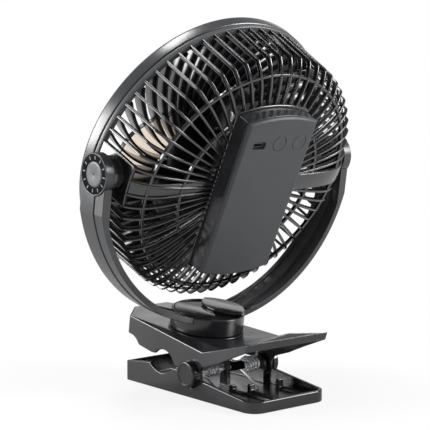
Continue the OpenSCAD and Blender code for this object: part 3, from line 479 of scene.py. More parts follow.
@dataclass(frozen=True)
class Finish:
    """One surface: its colour, gloss, the detail that moulding and use leave on it, and painted highlights
    along its edges.
    """

    name: str
    colour: Point
    roughness: float = 0.45
    metallic: float = 0.0
    coat: float = 0.0
    specular: float = 0.5
    grain: float = 1500.0
    coarse: float = 0.3
    relief: float = 0.12
    patches: float = 45.0
    patch_tint: float = 0.12
    patch_gloss: float = 0.08
    # How far the painted edge highlight lightens the colour.
    edge_highlight: float = 0.5
    glow: float = 0.0

    def material(self) -> bpy.types.Material:
        """The surface as a material, made the first time it is asked for."""
        known = bpy.data.materials.get(self.name)
        return known or self.build()

    def build(self) -> bpy.types.Material:
        """Builds the surface's nodes.

        Returns:
            The new material.
        """
        made = bpy.data.materials.new(self.name)
        made.use_nodes = True
        made.diffuse_color = (*self.colour, 1.0)
        tree = made.node_tree
        shader = tree.nodes["Principled BSDF"]
        shader.inputs["Metallic"].default_value = self.metallic
        shader.inputs["Coat Weight"].default_value = self.coat
        shader.inputs["Coat Roughness"].default_value = 0.12
        shader.inputs["Specular IOR Level"].default_value = self.specular
        link = tree.links.new

        marks = self.place(tree, "handling marks", Scale=self.patches)
        edges = self.place(tree, "painted edge highlights")
        grain = self.place(tree, "moulded grain", Scale=self.grain, Coarse=self.coarse)

        tinted = self.blend(tree, self.colour, self.lighter(1 + self.patch_tint))
        link(marks.outputs["Mask"], tinted.inputs["Factor"])
        # Painted highlight: the edge mask lightens the colour along sharp edges, partly standing for wear.
        highlit = self.blend(tree, self.colour, self.lighter(1 + self.edge_highlight, 0.01))
        link(tinted.outputs["Result"], highlit.inputs["A"])
        link(edges.outputs["Mask"], highlit.inputs["Factor"])
        link(highlit.outputs["Result"], shader.inputs["Base Color"])

        gloss = tree.nodes.new("ShaderNodeMapRange")
        gloss.inputs["To Min"].default_value = self.roughness - self.patch_gloss / 2
        gloss.inputs["To Max"].default_value = self.roughness + self.patch_gloss / 2
        link(marks.outputs["Mask"], gloss.inputs["Value"])
        link(gloss.outputs["Result"], shader.inputs["Roughness"])

        bump = tree.nodes.new("ShaderNodeBump")
        bump.inputs["Strength"].default_value = self.relief
        bump.inputs["Distance"].default_value = 0.0003
        link(grain.outputs["Height"], bump.inputs["Height"])
        link(bump.outputs["Normal"], shader.inputs["Normal"])
        # Painted glow: the emission lifts the surface beyond the light that reaches it.
        if self.glow > 0:
            link(tinted.outputs["Result"], shader.inputs["Emission Color"])
            shader.inputs["Emission Strength"].default_value = self.glow
        return made

    def lighter(self, gain: float, lift: float = 0.0) -> Point:
        """The colour scaled and lifted, kept within range."""
        return tuple(min(1.0, c * gain + lift) for c in self.colour)

    @staticmethod
    def place(tree: bpy.types.NodeTree, effect: str, **values: float) -> bpy.types.Node:
        """Places a shared effect in a material with its own values.

        Args:
            tree: The material's node tree.
            effect: The effect's name.
            values: Inputs of the effect and their values here.

        Returns:
            The new node.
        """
        node = tree.nodes.new("ShaderNodeGroup")
        node.node_tree = EFFECTS[effect].tree
        for label, value in values.items():
            node.inputs[label].default_value = value
        return node

    @staticmethod
    def blend(tree: bpy.types.NodeTree, first: Point, second: Point) -> MixView:
        """Adds a colour mix between two colours.

        Args:
            tree: The material's node tree.
            first: The colour at factor 0.
            second: The colour at factor 1.

        Returns:
            The mix with its colour sockets named.
        """
        node = tree.nodes.new("ShaderNodeMix")
        node.data_type = "RGBA"
        node.inputs["A"].default_value = (*first, 1.0)
        node.inputs["B"].default_value = (*second, 1.0)
        return MixView(node)


SHELL = Finish("charcoal shell", (0.016, 0.0163, 0.018), roughness=0.26, specular=0.5, relief=0.05)
BOX = Finish("control box shell", (0.052, 0.0535, 0.057), roughness=0.42, specular=0.25, relief=0.12,
             grain=1900.0)
# Painted shade: a darker copy of the box's plastic, for the shade on the box's side walls.
SHADED_TUB = Finish("control box side in painted shade", (0.022, 0.0225, 0.025), roughness=0.26, specular=0.5, relief=0.05)
YOKE = Finish("yoke shell", (0.022, 0.0225, 0.0245), roughness=0.36, specular=0.6, relief=0.05)
RING = Finish("ring shell", (0.040, 0.041, 0.044), roughness=0.28, specular=0.7, relief=0.05)
RIM = Finish("rim shell", (0.085, 0.086, 0.090), roughness=0.30, specular=0.7, relief=0.05)
# The cage's strong edge highlight paints bright lines along its rib edges.
CAGE = Finish("cage gloss", (0.006, 0.006, 0.007), roughness=0.20, specular=0.9, relief=0.02, edge_highlight=6.0)
GRILLE = Finish("grille gloss", (0.008, 0.008, 0.010), roughness=0.2, specular=0.5, relief=0.03)
BLADE = Finish("blade gloss", (0.005, 0.005, 0.006), roughness=0.18, specular=0.5, relief=0.03)
JAW = Finish("clamp shell", (0.017, 0.0173, 0.019), roughness=0.22, specular=0.6, relief=0.05)
KNOB = Finish("knob shell", (0.010, 0.010, 0.0115), roughness=0.18, specular=0.5, relief=0.04)
DIAL = Finish("dial black", (0.0025, 0.0025, 0.003), roughness=0.6, specular=0.04, relief=0.05, edge_highlight=0.1)
CAP = Finish("dial cap", (0.075, 0.077, 0.082), roughness=0.40, specular=0.4, relief=0.05)
TICK = Finish("dial marks", (0.22, 0.225, 0.235), roughness=0.5, relief=0.05, edge_highlight=0.1)
# Painted glow: the lamp disc and lens get emission, as they get little light inside the cage.
LENS = Finish("lamp cream", (0.93, 0.80, 0.68), roughness=0.38, relief=0.04, patch_tint=0.03, edge_highlight=0.05,
              glow=0.80)
STEEL = Finish("bright steel", (0.90, 0.91, 0.93), roughness=0.45, metallic=0.75, grain=2600.0, relief=0.08,
               patch_tint=0.06, edge_highlight=0.2)
PORT = Finish("port shell", (0.10, 0.10, 0.105), roughness=0.35, metallic=1.0, grain=2600.0, relief=0.06)
NYLON = Finish("natural nylon", (0.74, 0.72, 0.66), roughness=0.5, relief=0.06, patch_tint=0.05,
               edge_highlight=0.1)
COPPER = Finish("enamelled winding", (0.42, 0.17, 0.06), roughness=0.35, metallic=0.8, grain=900.0,
                relief=0.4)
MAGNET = Finish("ferrite", (0.035, 0.035, 0.04), roughness=0.6, relief=0.25, grain=900.0)
SLEEVE = Finish("cell sleeve", (0.03, 0.13, 0.33), roughness=0.3, coat=0.3, relief=0.04)
MASK = Finish("board mask", (0.015, 0.10, 0.045), roughness=0.35, coat=0.3, grain=700.0, relief=0.2)
LEDS = Finish("white board", (0.80, 0.80, 0.78), roughness=0.5, relief=0.06, patch_tint=0.03, edge_highlight=0.1)


# ---- Places round each axis -----------------------------------------------


def round_fan(r: float, v: float, a: float) -> Point:
    """A point by distance from the fan's axis, place along it and clock angle."""
    return (r * math.sin(a), v, r * math.cos(a))


def round_hub(r: float, z: float, a: float) -> Point:
    """A point by distance from the hub's axis, height and angle."""
    return (r * math.cos(a), r * math.sin(a), z)


def round_side(side: int, y: float = 0.0, z: float = 0.0) -> Callable[[float, float, float], Point]:
    """Gives the placing round an axis across the fan, whose distances run outwards on one side."""
    return lambda r, x, a: (side * x, y + r * math.cos(a), z + r * math.sin(a))


@dataclass
class BoxPlan:
    """The outline of the control box, with bowed ends."""

    half: float = 31.5
    top: float = 59.8
    bottom: float = 62.0
    bow: float = 111.0

    def rise(self) -> float:
        """How far the bowed ends stand beyond the corners."""
        return self.bow - math.sqrt(self.bow ** 2 - self.half ** 2)

    def reach(self, clock: float, out: float) -> float:
        """Distance from the fan's axis to the outline in one direction.

        Args:
            clock: Clock angle in radians.
            out: How far the outline is moved outwards.

        Returns:
            The distance in millimetres.
        """
        s, c = math.sin(clock), math.cos(clock)
        best = (self.half + out) / abs(s) if abs(s) > 1e-6 else 1e9
        end = self.top if c > 0 else self.bottom
        centre = (end + self.rise() - self.bow) * (1 if c > 0 else -1)
        radius = self.bow + out
        along = centre * c
        hit = along + math.sqrt(max(0.0, radius ** 2 - centre ** 2 + along ** 2))
        return min(best, hit)

    def outline(self, out: float, corner: float = 2.5) -> list[Flat]:
        """The outline as points across and up.

        Args:
            out: How far it is moved outwards.
            corner: Radius of its corners.

        Returns:
            The points, in order round it.
        """
        x = self.half + out
        radius = self.bow + out
        upper = self.top + self.rise() - self.bow
        lower = self.bow - self.bottom - self.rise()
        steps = 10
        points: list[Flat] = []
        for i in range(steps + 1):
            u = x * (1 - 2 * i / steps)
            points.append((u, upper + math.sqrt(radius ** 2 - u * u)))
        for i in range(steps + 1):
            u = -x * (1 - 2 * i / steps)
            points.append((u, lower - math.sqrt(radius ** 2 - u * u)))
        radii = [corner if i % (steps + 1) in (0, steps) else 0.0 for i in range(len(points))]
        return rounded(points, radii, 4)


# ---- The fan's assemblies -------------------------------------------------


@dataclass
class RingHead:
    """The front ring and the curved grille that it holds."""

    outer: float = 104.1
    bore: float = 99.4
    front: float = -31.2
    back: float = -20.6
    ribs: int = 46
    rib_w: float = 1.7
    rib_depth: float = 13.4
    bend: float = 92.0
    lean: float = 39.0
    phase: float = 6.6
    lean_r: float = 98.3
    rib_end: float = 96.4
    boss_r: float = 21.0

    def ring(self) -> None:
        """Builds the ring with its rounded front and softened rear edge."""
        lip = self.bore - 1.6
        outline = rounded(
            [(lip, self.front + 1.2), (lip, self.front), (self.outer, self.front),
             (self.outer - 0.6, self.back - 0.5),
             (self.outer - 1.2, self.back), (self.bore, self.back), (self.bore, self.front + 1.2)],
            [0.3, 0.4, 3.0, 0.4, 0.3, 0.3, 0], 5)
        draft = Draft(STANCE.head()).lathe(outline, round_fan, 256)
        draft.piece("front_ring_shell", RING, Body.HEAD, "ring_shell", ["front_ring"], sharp=50)

    def bend_centre(self) -> float:
        """Distance of a rib's bending centre from the fan's axis."""
        square = self.lean_r ** 2 + self.bend ** 2
        return math.sqrt(square - 2 * self.lean_r * self.bend * math.sin(math.radians(self.lean)))

    def bend_angle(self, r: float) -> float:
        """The angle about the bending centre at which a rib has a distance from the axis."""
        c = self.bend_centre()
        return math.acos((c * c + self.bend ** 2 - r * r) / (2 * c * self.bend))

    def rib(self, draft: Draft, clock: float) -> None:
        """Adds one curved rib.

        Args:
            draft: Where the rib is added.
            clock: Clock angle in degrees at which it meets the rim.
        """
        c = self.bend_centre()
        edge = self.bend_angle(self.lean_r)
        start = math.atan2(self.bend * math.sin(edge), c - self.bend * math.cos(edge))
        turn = math.radians(clock - 90) - start
        first, last = self.bend_angle(self.rib_end), self.bend_angle(self.boss_r - 1)
        section = soft_rect(self.rib_w, self.rib_depth, 0.7, 2)
        middle = self.front + 1.2 + self.rib_depth / 2
        rings = []
        for i in range(19):
            b = first + (last - first) * i / 18
            ring = []
            for across, along in section:
                r = self.bend + across
                x, y = c - r * math.cos(b), r * math.sin(b)
                ring.append((x * math.cos(turn) - y * math.sin(turn), middle + along,
                             -(x * math.sin(turn) + y * math.cos(turn))))
            rings.append(ring)
        draft.skin(rings)

    def grille(self) -> None:
        """Builds the grille's ribs, rim and middle boss."""
        ribs = Draft(STANCE.head())
        for i in range(self.ribs):
            self.rib(ribs, self.phase + 360.0 * i / self.ribs)
        ribs.piece("grille_ribs", GRILLE, Body.HEAD, "cage_plastic", ["front_grille"], sharp=60)
        face = self.front + 1.2
        rim = rounded([(95.8, face), (99.25, face), (99.25, face + 6), (95.8, face + 6)],
                      [0.8, 0.3, 0.3, 0.8])
        boss = rounded([(0.01, face), (self.boss_r, face), (self.boss_r, face + self.rib_depth + 0.5),
                        (self.boss_r - 2, face + self.rib_depth + 0.5), (self.boss_r - 2, face + 2),
                        (0.01, face + 2)],
                       [0, 1.0, 0.6, 0.6, 0.5, 0])
        trim = Draft(STANCE.head()).lathe(rim, round_fan, 180).lathe(boss, round_fan, 96)
        trim.piece("grille_rim_and_boss", GRILLE, Body.HEAD, "cage_plastic")

    def build(self) -> None:
        """Builds the ring and the grille."""
        self.ring()
        self.grille()


@dataclass
class RearCage:
    """The ribbed back of the head, with its arms, hoops and the collar round the box."""

    rim_r: float = 102.0
    rim_front: float = -20.1
    rim_back: float = -16.7
    elbow_r: float = 100.0
    elbow_v: float = 20.5
    dome_h: float = 11.8
    dome_flat: float = 8.3
    ribs: int = 62
    rib_w: float = 1.9
    rib_d: float = 3.8
    hoops: tuple[float, float] = (87.6, 60.5)
    hoop_w: float = 2.2
    arm_half: float = 6.6
    panel_half: float = 8.7
    near_drop: float = 1.3
    boss_r: float = 12.5
    boss_seat: float = 95.5
    boss_face: float = 106.8
    box: BoxPlan = field(default_factory=BoxPlan)

    def dome(self, r: float) -> float:
        """How far behind the tilt axis the domed back lies at a distance from the axis."""
        return self.elbow_v + self.dome_h * (1 - (r / self.elbow_r) ** self.dome_flat)

    def dome_path(self, inner: float) -> list[Flat]:
        """The line of a rib over the dome, from the elbow inwards.

        Args:
            inner: Distance from the fan's axis at which the rib ends.

        Returns:
            Points as distance from the axis and place along it.
        """
        stops = [98.6, 97.0, 95.0, 92.5, 89.5, 85.5, 80.0, 72.0, 62.0, 50.0, 40.0]
        kept = [r for r in stops if r > inner + 1]
        return [(r, self.dome(r)) for r in kept] + [(inner, self.dome(inner))]

    def strip(self, draft: Draft, path: Sequence[Flat], clock: float, section: Sequence[Flat],
              depth: float) -> None:
        """Sweeps a section along a line in the plane through the fan's axis.

        Args:
            draft: Where the strip is added.
            path: The outer line, as distance and place along the axis.
            clock: Clock angle of the plane in radians.
            section: Across and outwards, about the middle of the strip.
            depth: Depth of the strip, measured inwards from the line.
        """
        rings = []
        for i, (r, v) in enumerate(path):
            before = Vector(path[max(i - 1, 0)])
            after = Vector(path[min(i + 1, len(path) - 1)])
            way = (after - before).normalized()
            out = Vector((way.y, -way.x))
            ring = []
            for across, outwards in section:
                rr = r + out.x * (outwards - depth / 2)
                vv = v + out.y * (outwards - depth / 2)
                ring.append((rr * math.sin(clock) + across * math.cos(clock), vv,
                             rr * math.cos(clock) - across * math.sin(clock)))
            rings.append(ring)
        draft.skin(rings)

    def build_ribs(self) -> None:
        """Builds the straight ribs, bent in at the elbow; two cross the near arm."""
        draft = Draft(STANCE.head())
        section = soft_rect(self.rib_w, self.rib_d, 0.55, 2)
        side = [(self.rim_r, self.rim_back - 1.5), (101.0, 1.0), (100.15, 17.5), (99.95, 19.6), (99.4, 21.1)]
        for i in range(self.ribs):
            clock = 2 * math.pi * i / self.ribs
            dome = self.dome_path(self.box.reach(clock, 1.0))
            if abs(math.sin(clock)) <= math.cos(math.radians(self.panel_half)):
                self.strip(draft, side + dome, clock, section, self.rib_d)
            elif math.sin(clock) > 0:
                self.strip(draft, side[-2:] + dome, clock, section, self.rib_d)
        draft.piece("cage_ribs", CAGE, Body.HEAD, "cage_plastic", ["rear_cage"], sharp=60)

    def build_arms(self) -> None:
        """Builds the flat arms that carry the box, the side panels and the tilt bosses."""
        draft = Draft(STANCE.head())
        depth = self.rib_d * 0.7
        for side, drop in ((1, self.near_drop), (-1, 0.0)):
            clock = math.radians(90 * side)
            path = [(99.9 - drop, 19.8), (99.4 - drop, 21.1)] + self.dome_path(self.box.half + 1)
            path = [(r, v - drop) for r, v in path]
            self.strip(draft, path, clock, soft_rect(2 * self.arm_half, depth - drop, 0.7, 3), depth - drop)
            wall = rounded([(self.rim_r - 3.2, self.rim_front + 1), (self.rim_r, self.rim_front + 1),
                            (self.elbow_r, self.elbow_v), (self.elbow_r - 3.2, self.elbow_v - 1.5)],
                           [0.5, 0.5, 1.0, 0.5])
            middle = 90 * side
            draft.lathe(wall, round_fan, 12, (middle - self.panel_half, middle + self.panel_half))
            boss = rounded([(0.01, self.boss_seat), (self.boss_r, self.boss_seat),
                            (self.boss_r, self.boss_face), (0.01, self.boss_face)],
                           [0, 0.5, 0.8, 0])
            draft.lathe(boss, round_side(side), 64)
        draft.piece("cage_arms", CAGE, Body.HEAD, "cage_plastic")

    def build_hoops(self) -> None:
        """Builds the two hoops and the collar round the box."""
        draft = Draft(STANCE.head())
        lip = rounded([(97.0, -22.7), (99.3, -22.7), (99.3, -19.8), (97.0, -19.8)], [0.3, 0.3, 0, 0])
        draft.lathe(lip, round_fan, 180)
        for r in self.hoops:
            top = self.dome(r)
            band = rounded([(r - 1.1, top - 3.4), (r + 1.1, top - 3.4), (r + 1.1, top - 0.5),
                            (r - 1.1, top - 0.5)],
                           [0.5] * 4)
            draft.lathe(band, round_fan, 200)
        outer = self.box.outline(2.2, 4.0)
        inner = self.box.outline(0.15, 2.0)
        low, high = 24.5, self.dome(30.0) - 0.2
        levels = [(outer, low), (outer, high - 0.8), (self.box.outline(1.95, 3.8), high - 0.2),
                  (self.box.outline(1.4, 3.3), high), (inner, high), (inner, low)]
        rings = [[(u, v, w) for u, w in points] for points, v in levels]
        draft.skin(rings, looped=True)
        draft.piece("cage_hoops_collar", CAGE, Body.HEAD, "cage_plastic", sharp=50)

    def build_rim(self) -> None:
        """Builds the rim that snaps into the ring, in a paler grey than the ring."""
        rim = rounded([(98.0, self.rim_front), (102.7, self.rim_front), (103.1, self.rim_front + 0.6),
                       (102.6, self.rim_back), (98.0, self.rim_back)], [0.4, 0.3, 0.4, 0.8, 0.4])
        draft = Draft(STANCE.head()).lathe(rim, round_fan, 256)
        draft.piece("cage_rim", RIM, Body.HEAD, "ring_shell", sharp=50)

    def build(self) -> None:
        """Builds the cage's pieces."""
        self.build_ribs()
        self.build_arms()
        self.build_hoops()
        self.build_rim()


@dataclass
class Lamp:
    """The round lamp on the front of the grille."""

    radius: float = 33.6
    across: float = 38.5
    up: float = -10.3
    back: float = -30.0
    thick: float = 4.4

    def place(self, r: float, v: float, a: float) -> Point:
        """A point by distance from the lamp's middle, depth and angle."""
        return (self.across + r * math.sin(a), v, self.up + r * math.cos(a))

    def build(self) -> None:
        """Builds the milky back, the lens and the rim."""
        front = self.back - self.thick
        r = self.radius - 0.8
        disc = rounded([(0.01, self.back), (r, self.back), (r, self.back - 1.4), (0.01, self.back - 1.4)],
                       [0, 0.4, 0, 0])
        Draft(STANCE.head()).lathe(disc, self.place, 128).piece("lamp_back_disc", LENS, Body.HEAD,
                                                                "lamp_cream", ["lamp_back"])
        lens = rounded([(0.01, front), (r, front), (r, self.back - 1.45), (r - 1.6, self.back - 1.45),
                        (r - 1.6, front + 1.4), (0.01, front + 1.4)], [0, 1.4, 0, 0, 1.0, 0], 5)
        Draft(STANCE.head()).lathe(lens, self.place, 128).piece("lamp_lens_dish", LENS, Body.HEAD,
                                                                "lamp_cream", ["lamp_lens"])
        rim = rounded([(r, front + 0.8), (self.radius, front + 0.8), (self.radius, self.back),
                       (r, self.back)],
                      [0, 0.5, 0.3, 0], 4)
        Draft(STANCE.head()).lathe(rim, self.place, 128).piece("lamp_rim_band", SHELL, Body.HEAD,
                                                               "dark_shell", ["lamp_rim"])


@dataclass
class Rotor:
    """The blades and their hub, on the motor's shaft."""

    blades: int = 7
    radius: float = 63.0
    hub_r: float = 20.5
    front: float = -6.0
    depth: float = 16.0
    span: float = 47.0
    thick: float = 1.8

    def blade(self, draft: Draft, turn: float) -> None:
        """Adds one twisted blade with a thin trailing edge.

        Args:
            draft: Where the blade is added.
            turn: Angle of the blade round the shaft in degrees.
        """
        steps = 14
        rings = []
        for i in range(steps + 1):
            t = i / steps
            angle = math.radians(turn + self.span * t)
            v = self.front + 0.5 + self.depth * t
            half = self.thick / 2 * (1 - 0.75 * abs(2 * t - 0.8) ** 2) if 0 < i < steps else 0.25
            tip = self.radius - 0.6 - 3.0 * (2 * t - 1) ** 4
            ring = []
            for r, side in self.section(tip):
                off = max(half, 0.25) * side
                ring.append((r * math.sin(angle) + off * math.cos(angle), v,
                             r * math.cos(angle) - off * math.sin(angle)))
            rings.append(ring)
        draft.skin(rings)

    def section(self, tip: float) -> list[Flat]:
        """The outline of a blade at one depth, from the hub to the tip and back.

        Args:
            tip: How far out the blade reaches at this depth.

        Returns:
            Points as distance from the shaft and which side of the blade they are on.
        """
        inner = self.hub_r - 1
        stops = [inner + (tip - inner) * k / 6 for k in range(7)]
        return [(r, 1.0) for r in stops] + [(tip + 0.4, 0.0)] + [(r, -1.0) for r in reversed(stops)]

    def build(self) -> None:
        """Builds the blades and the cup that carries them."""
        draft = Draft(STANCE.head())
        for i in range(self.blades):
            self.blade(draft, 90 - 360.0 * i / self.blades)
        cup = rounded([(0.01, self.front), (self.hub_r - 1.2, self.front), (self.hub_r, self.front + 1),
                       (self.hub_r, self.front + self.depth), (18.5, self.front + self.depth), (18.5, 0.0),
                       (0.01, 0.0)],
                      [0, 1.0, 1.0, 0.5, 0.5, 0.5, 0])
        draft.lathe(cup, round_fan, 96)
        draft.piece("fan_wheel", BLADE, Body.ROTOR, "blade_plastic", ["fan_blade"], sharp=50)


@dataclass
class Yoke:
    """The two-part strap that holds the head, with its dials."""

    flat_x: float = 115.3
    dial_r: float = 13.7
    cap_r: float = 9.0
    marks: int = 12
    mark_r: float = 11.6
    edge: float = 0.45

    def build_strap(self) -> None:
        """Rounds the edges of the strap's two halves."""
        softened("yoke_front", "yoke_front_shell", YOKE, Body.YOKE, self.edge, evened=False)
        softened("yoke_rear", "yoke_rear_shell", YOKE, Body.YOKE, self.edge, evened=False)

    def build_dials(self) -> None:
        """Builds the black dial rings, their marks and the caps in the middle."""
        for side, word in ((1, "left"), (-1, "right")):
            seat = self.flat_x - 1.2
            place = round_side(side)
            ring = rounded([(self.cap_r + 0.1, seat), (self.dial_r, seat), (self.dial_r, seat + 0.8),
                            (self.cap_r + 0.1, seat + 0.8)], [0, 0, 0.3, 0.3])
            Draft(STANCE.hub()).lathe(ring, place, 96).piece(f"dial_ring_{word}", DIAL, Body.YOKE,
                                                             "dial_black", [f"tilt_dial_{word}"])
            marks = Draft(STANCE.hub())
            for i in range(self.marks):
                turn = 2 * math.pi * i / self.marks
                self.mark(marks, place, turn, seat)
            marks.piece(f"dial_marks_{word}", TICK, Body.YOKE, "dial_black")
            cap = rounded([(0.6, seat), (self.cap_r, seat), (self.cap_r, seat + 0.9),
                           (self.cap_r - 1.4, seat + 1.2), (0.6, seat + 1.2)], [0, 0, 0.4, 0.4, 0.2])
            draft = Draft(STANCE.hub()).lathe(cap, place, 96)
            draft.lathe([(0.01, seat), (0.62, seat), (0.62, seat + 0.7), (0.01, seat + 0.7)], place, 16)
            draft.piece(f"dial_cap_disc_{word}", CAP, Body.YOKE, "yoke_shell", [f"dial_cap_{word}"])

    def mark(self, draft: Draft, place: Callable[[float, float, float], Point], turn: float,
             seat: float) -> None:
        """Adds one raised mark to a dial.

        Args:
            draft: Where the mark is added.
            place: Gives a point round the tilt axis on the dial's side.
            turn: Angle of the mark in radians.
            seat: How far out the dial's seat lies.
        """
        x, y, z = place(self.mark_r, 0.0, turn)
        out = Vector((0.0, math.cos(turn), math.sin(turn)))
        across = Vector((0.0, -math.sin(turn), math.cos(turn)))
        sign = 1 if place(0.0, 1.0, 0.0)[0] > 0 else -1
        rings = []
        for lift, inset in ((0.7, 0.0), (1.0, 0.0), (1.1, 0.12)):
            ring = []
            for a, b in soft_rect(2.6 - 2 * inset, 0.75 - 2 * inset, 0.2, 1):
                spot = Vector((sign * (seat + lift), y, z)) + out * a + across * b
                ring.append(tuple(spot))
            rings.append(ring)
        draft.skin(rings)

    def build(self) -> None:
        """Builds the strap and the dials."""
        self.build_strap()
        self.build_dials()


@dataclass
class SwivelHub:
    """The drum under the yoke and the lock knob on top of it."""

    drum_r: float = 27.3
    drum_low: float = -123.9
    rim: float = -110.8
    dish: float = -112.1
    rim_w: float = 1.8
    base_r: float = 28.3
    plate: float = -126.8
    base_h: float = 2.3
    reach: float = 25.5
    chord: float = 44.0
    top: float = -108.5
    wing_r: float = 27.9

    def build_drum(self) -> None:
        """Builds the drum with its dished top, and the base ring under it."""
        drum = rounded([(15.6, self.drum_low), (self.drum_r, self.drum_low), (self.drum_r, self.rim),
                        (self.drum_r - self.rim_w, self.rim), (self.drum_r - self.rim_w, self.dish),
                        (3.1, self.dish), (3.1, self.dish - 1.1), (15.6, self.dish - 1.1)],
                       [0.5, 0.6, 0.8, 0.5, 0.5, 0.1, 0, 0.5], 4)
        Draft(STANCE.hub()).lathe(drum, round_hub, 160).piece("hub_drum", SHELL, Body.YOKE, "dark_shell",
                                                              ["swivel_hub"])
        flange = rounded([(12.2, self.plate), (self.base_r, self.plate),
                          (self.base_r, self.plate + self.base_h),
                          (12.2, self.plate + self.base_h)], [0, 0.2, 0.8, 0], 4)
        post = [(0.01, self.plate), (12.0, self.plate), (12.0, -115.8), (11.8, -115.6), (0.01, -115.6)]
        draft = Draft(STANCE.hub()).lathe(flange, round_hub, 160).lathe(post, round_hub, 64)
        draft.piece("hub_base_ring", KNOB, Body.CLAMP_TOP, "dial_black", ["swivel_base"])

    def wing(self, limit: float) -> list[Flat]:
        """The leaf outline of a wing: two arcs that meet at its tips, kept inside a round.

        Args:
            limit: Radius of the round about the hub's axis.

        Returns:
            The outline's points.
        """
        bulge = self.reach / 2 + 0.5
        h = self.chord / 2
        arc = (h * h + bulge * bulge) / (2 * bulge)
        first = arc - self.reach / 2 - bulge / 2 - 6.6
        second = -arc + bulge - self.reach / 2 + 0.4
        middle = Vector(((first - arc + second + arc) / 2, 2.0))
        points = []
        for i in range(96):
            a = 2 * math.pi * i / 96
            way = Vector((math.cos(a), math.sin(a)))
            lengths = [self.exit(middle, way, Vector((first, 2.0)), arc),
                       self.exit(middle, way, Vector((second, 2.0)), arc),
                       self.exit(middle, way, Vector((0.0, 0.0)), limit)]
            points.append(tuple(middle + way * min(lengths)))
        return points

    @staticmethod
    def exit(start: Vector, way: Vector, centre: Vector, radius: float) -> float:
        """How far a line from inside a circle runs before it leaves it.

        Args:
            start: Where the line starts.
            way: Its direction, of length 1.
            centre: The circle's middle.
            radius: The circle's radius.

        Returns:
            The length of the line inside the circle.
        """
        off = start - centre
        along = off.dot(way)
        return -along + math.sqrt(max(0.0, along * along - off.length_squared + radius * radius))

    def build_knob(self) -> None:
        """Builds the knob: a lower and an upper leaf on a round boss."""
        place: Callable[[float, float, float], Point] = lambda x, y, z: (x, y, z)
        lower = [(-x, -y) for x, y in self.wing(self.drum_r - self.rim_w - 0.4)]
        draft = Draft(STANCE.hub())
        draft.prism(lower, self.dish + 0.3, self.rim + 0.5, place, 0.4)
        draft.prism(self.wing(self.wing_r), self.rim + 0.3, self.top, place, 0.5)
        draft.lathe([(0.01, self.dish + 0.3), (6.0, self.dish + 0.3), (6.0, self.rim + 0.4),
                     (0.01, self.rim + 0.4)],
                    round_hub, 48)
        draft.lathe([(0.01, self.dish - 1.4), (3.0, self.dish - 1.4), (3.0, self.dish + 1.0),
                     (0.01, self.dish + 1.0)],
                    round_hub, 32)
        draft.piece("lock_knob_leaves", KNOB, Body.KNOB, "dark_shell", ["lock_knob"], sharp=45)

    def build(self) -> None:
        """Builds the drum, the base ring and the knob."""
        self.build_drum()
        self.build_knob()


@dataclass
class Clamp:
    """The two jaws, their pin with its caps, and the springs."""

    pin_y: float = 31.5
    pin_z: float = 17.5
    pin_r: float = 2.0
    cap_in: float = 36.2
    cap_t: float = 4.9
    cap_r: float = 10.0
    wire: float = 1.5
    turns: float = 4.5
    pitch: float = 1.9
    floor_z: float = 2.6
    leg_drop: float = 28.0
    plate_reach: float = 17.34
    left_x: float = 9.0
    left_d: float = 8.6
    right_x: float = -27.5
    right_d: float = 11.6
    rod_end: float = 35.9
    lower_edge: float = 0.7
    upper_edge: float = 1.0
    handle_y: float = 45.5

    def jaws(self) -> None:
        """Rounds the edges of both jaws."""
        softened("lower_jaw", "lower_jaw_shell", JAW, Body.CLAMP_BASE, self.lower_edge)
        softened("upper_jaw", "upper_jaw_shell", JAW, Body.CLAMP_TOP, self.upper_edge,
                 slim_from=self.handle_y)

    def caps(self) -> None:
        """Builds the pin and the caps on its ends."""
        for side, word in ((1, "left"), (-1, "right")):
            out = self.cap_in + self.cap_t
            disc = rounded([(0.01, self.cap_in), (self.cap_r, self.cap_in), (self.cap_r, out),
                            (self.cap_r - 2.4, out), (self.cap_r - 2.8, out - 0.5), (0.01, out - 0.5)],
                           [0, 0.4, 1.3, 0.3, 0.3, 0], 5)
            draft = Draft(STANCE.floor()).lathe(disc, round_side(side, self.pin_y, self.pin_z), 96)
            draft.piece(f"pin_cap_disc_{word}", KNOB, Body.CLAMP_BASE, "dark_shell", [f"pin_cap_{word}"])
        rod = rounded([(0.01, -self.rod_end), (self.pin_r, -self.rod_end), (self.pin_r, self.rod_end),
                       (0.01, self.rod_end)], [0, 0.4, 0.4, 0])
        Draft(STANCE.floor()).lathe(rod, round_side(1, self.pin_y, self.pin_z), 32).piece(
            "clamp_pin_rod", STEEL, Body.CLAMP_BASE, "steel", ["clamp_pin"])

    def spring(self, word: str, x0: float, outer: float) -> None:
        """Builds one torsion spring with both its legs.

        Args:
            word: Which side it is on.
            x0: Where its coil starts.
            outer: Its outer diameter.
        """
        r = (outer - self.wire) / 2
        lean = math.radians(STANCE.hub_lean)
        lift = self.plate_reach - r * math.cos(lean)
        line = [Vector((x0, lift * k / 4 * math.sin(lean), r + lift * k / 4 * math.cos(lean)))
                for k in (4, 3, 2, 1)]
        steps = 26
        count = int(self.turns * steps)
        for k in range(count + 1):
            a = math.radians(90 + 360 * k / steps)
            line.append(Vector((x0 + k * self.wire * self.pitch / steps, r * math.cos(a), r * math.sin(a))))
        drop = math.radians(self.leg_drop)
        length = (self.pin_z - self.floor_z - r - self.wire / 2) / math.sin(drop)
        end = line[-1].copy()
        line += [end + Vector((0.0, length * k / 4 * math.cos(drop), -length * k / 4 * math.sin(drop)))
                 for k in (1, 2, 3, 4)]
        draft = Draft(STANCE.floor() @ Matrix.Translation((0.0, self.pin_y, self.pin_z)))
        draft.skin(wire_rings(line, self.wire / 2, 10))
        draft.piece(f"spring_wire_{word}", STEEL, Body.CLAMP_BASE, "steel", [f"clamp_spring_{word}"],
                    sharp=80)

    def build(self) -> None:
        """Builds the jaws, the pin and the springs."""
        self.jaws()
        self.caps()
        self.spring("left", self.left_x, self.left_d)
        self.spring("right", self.right_x, self.right_d)


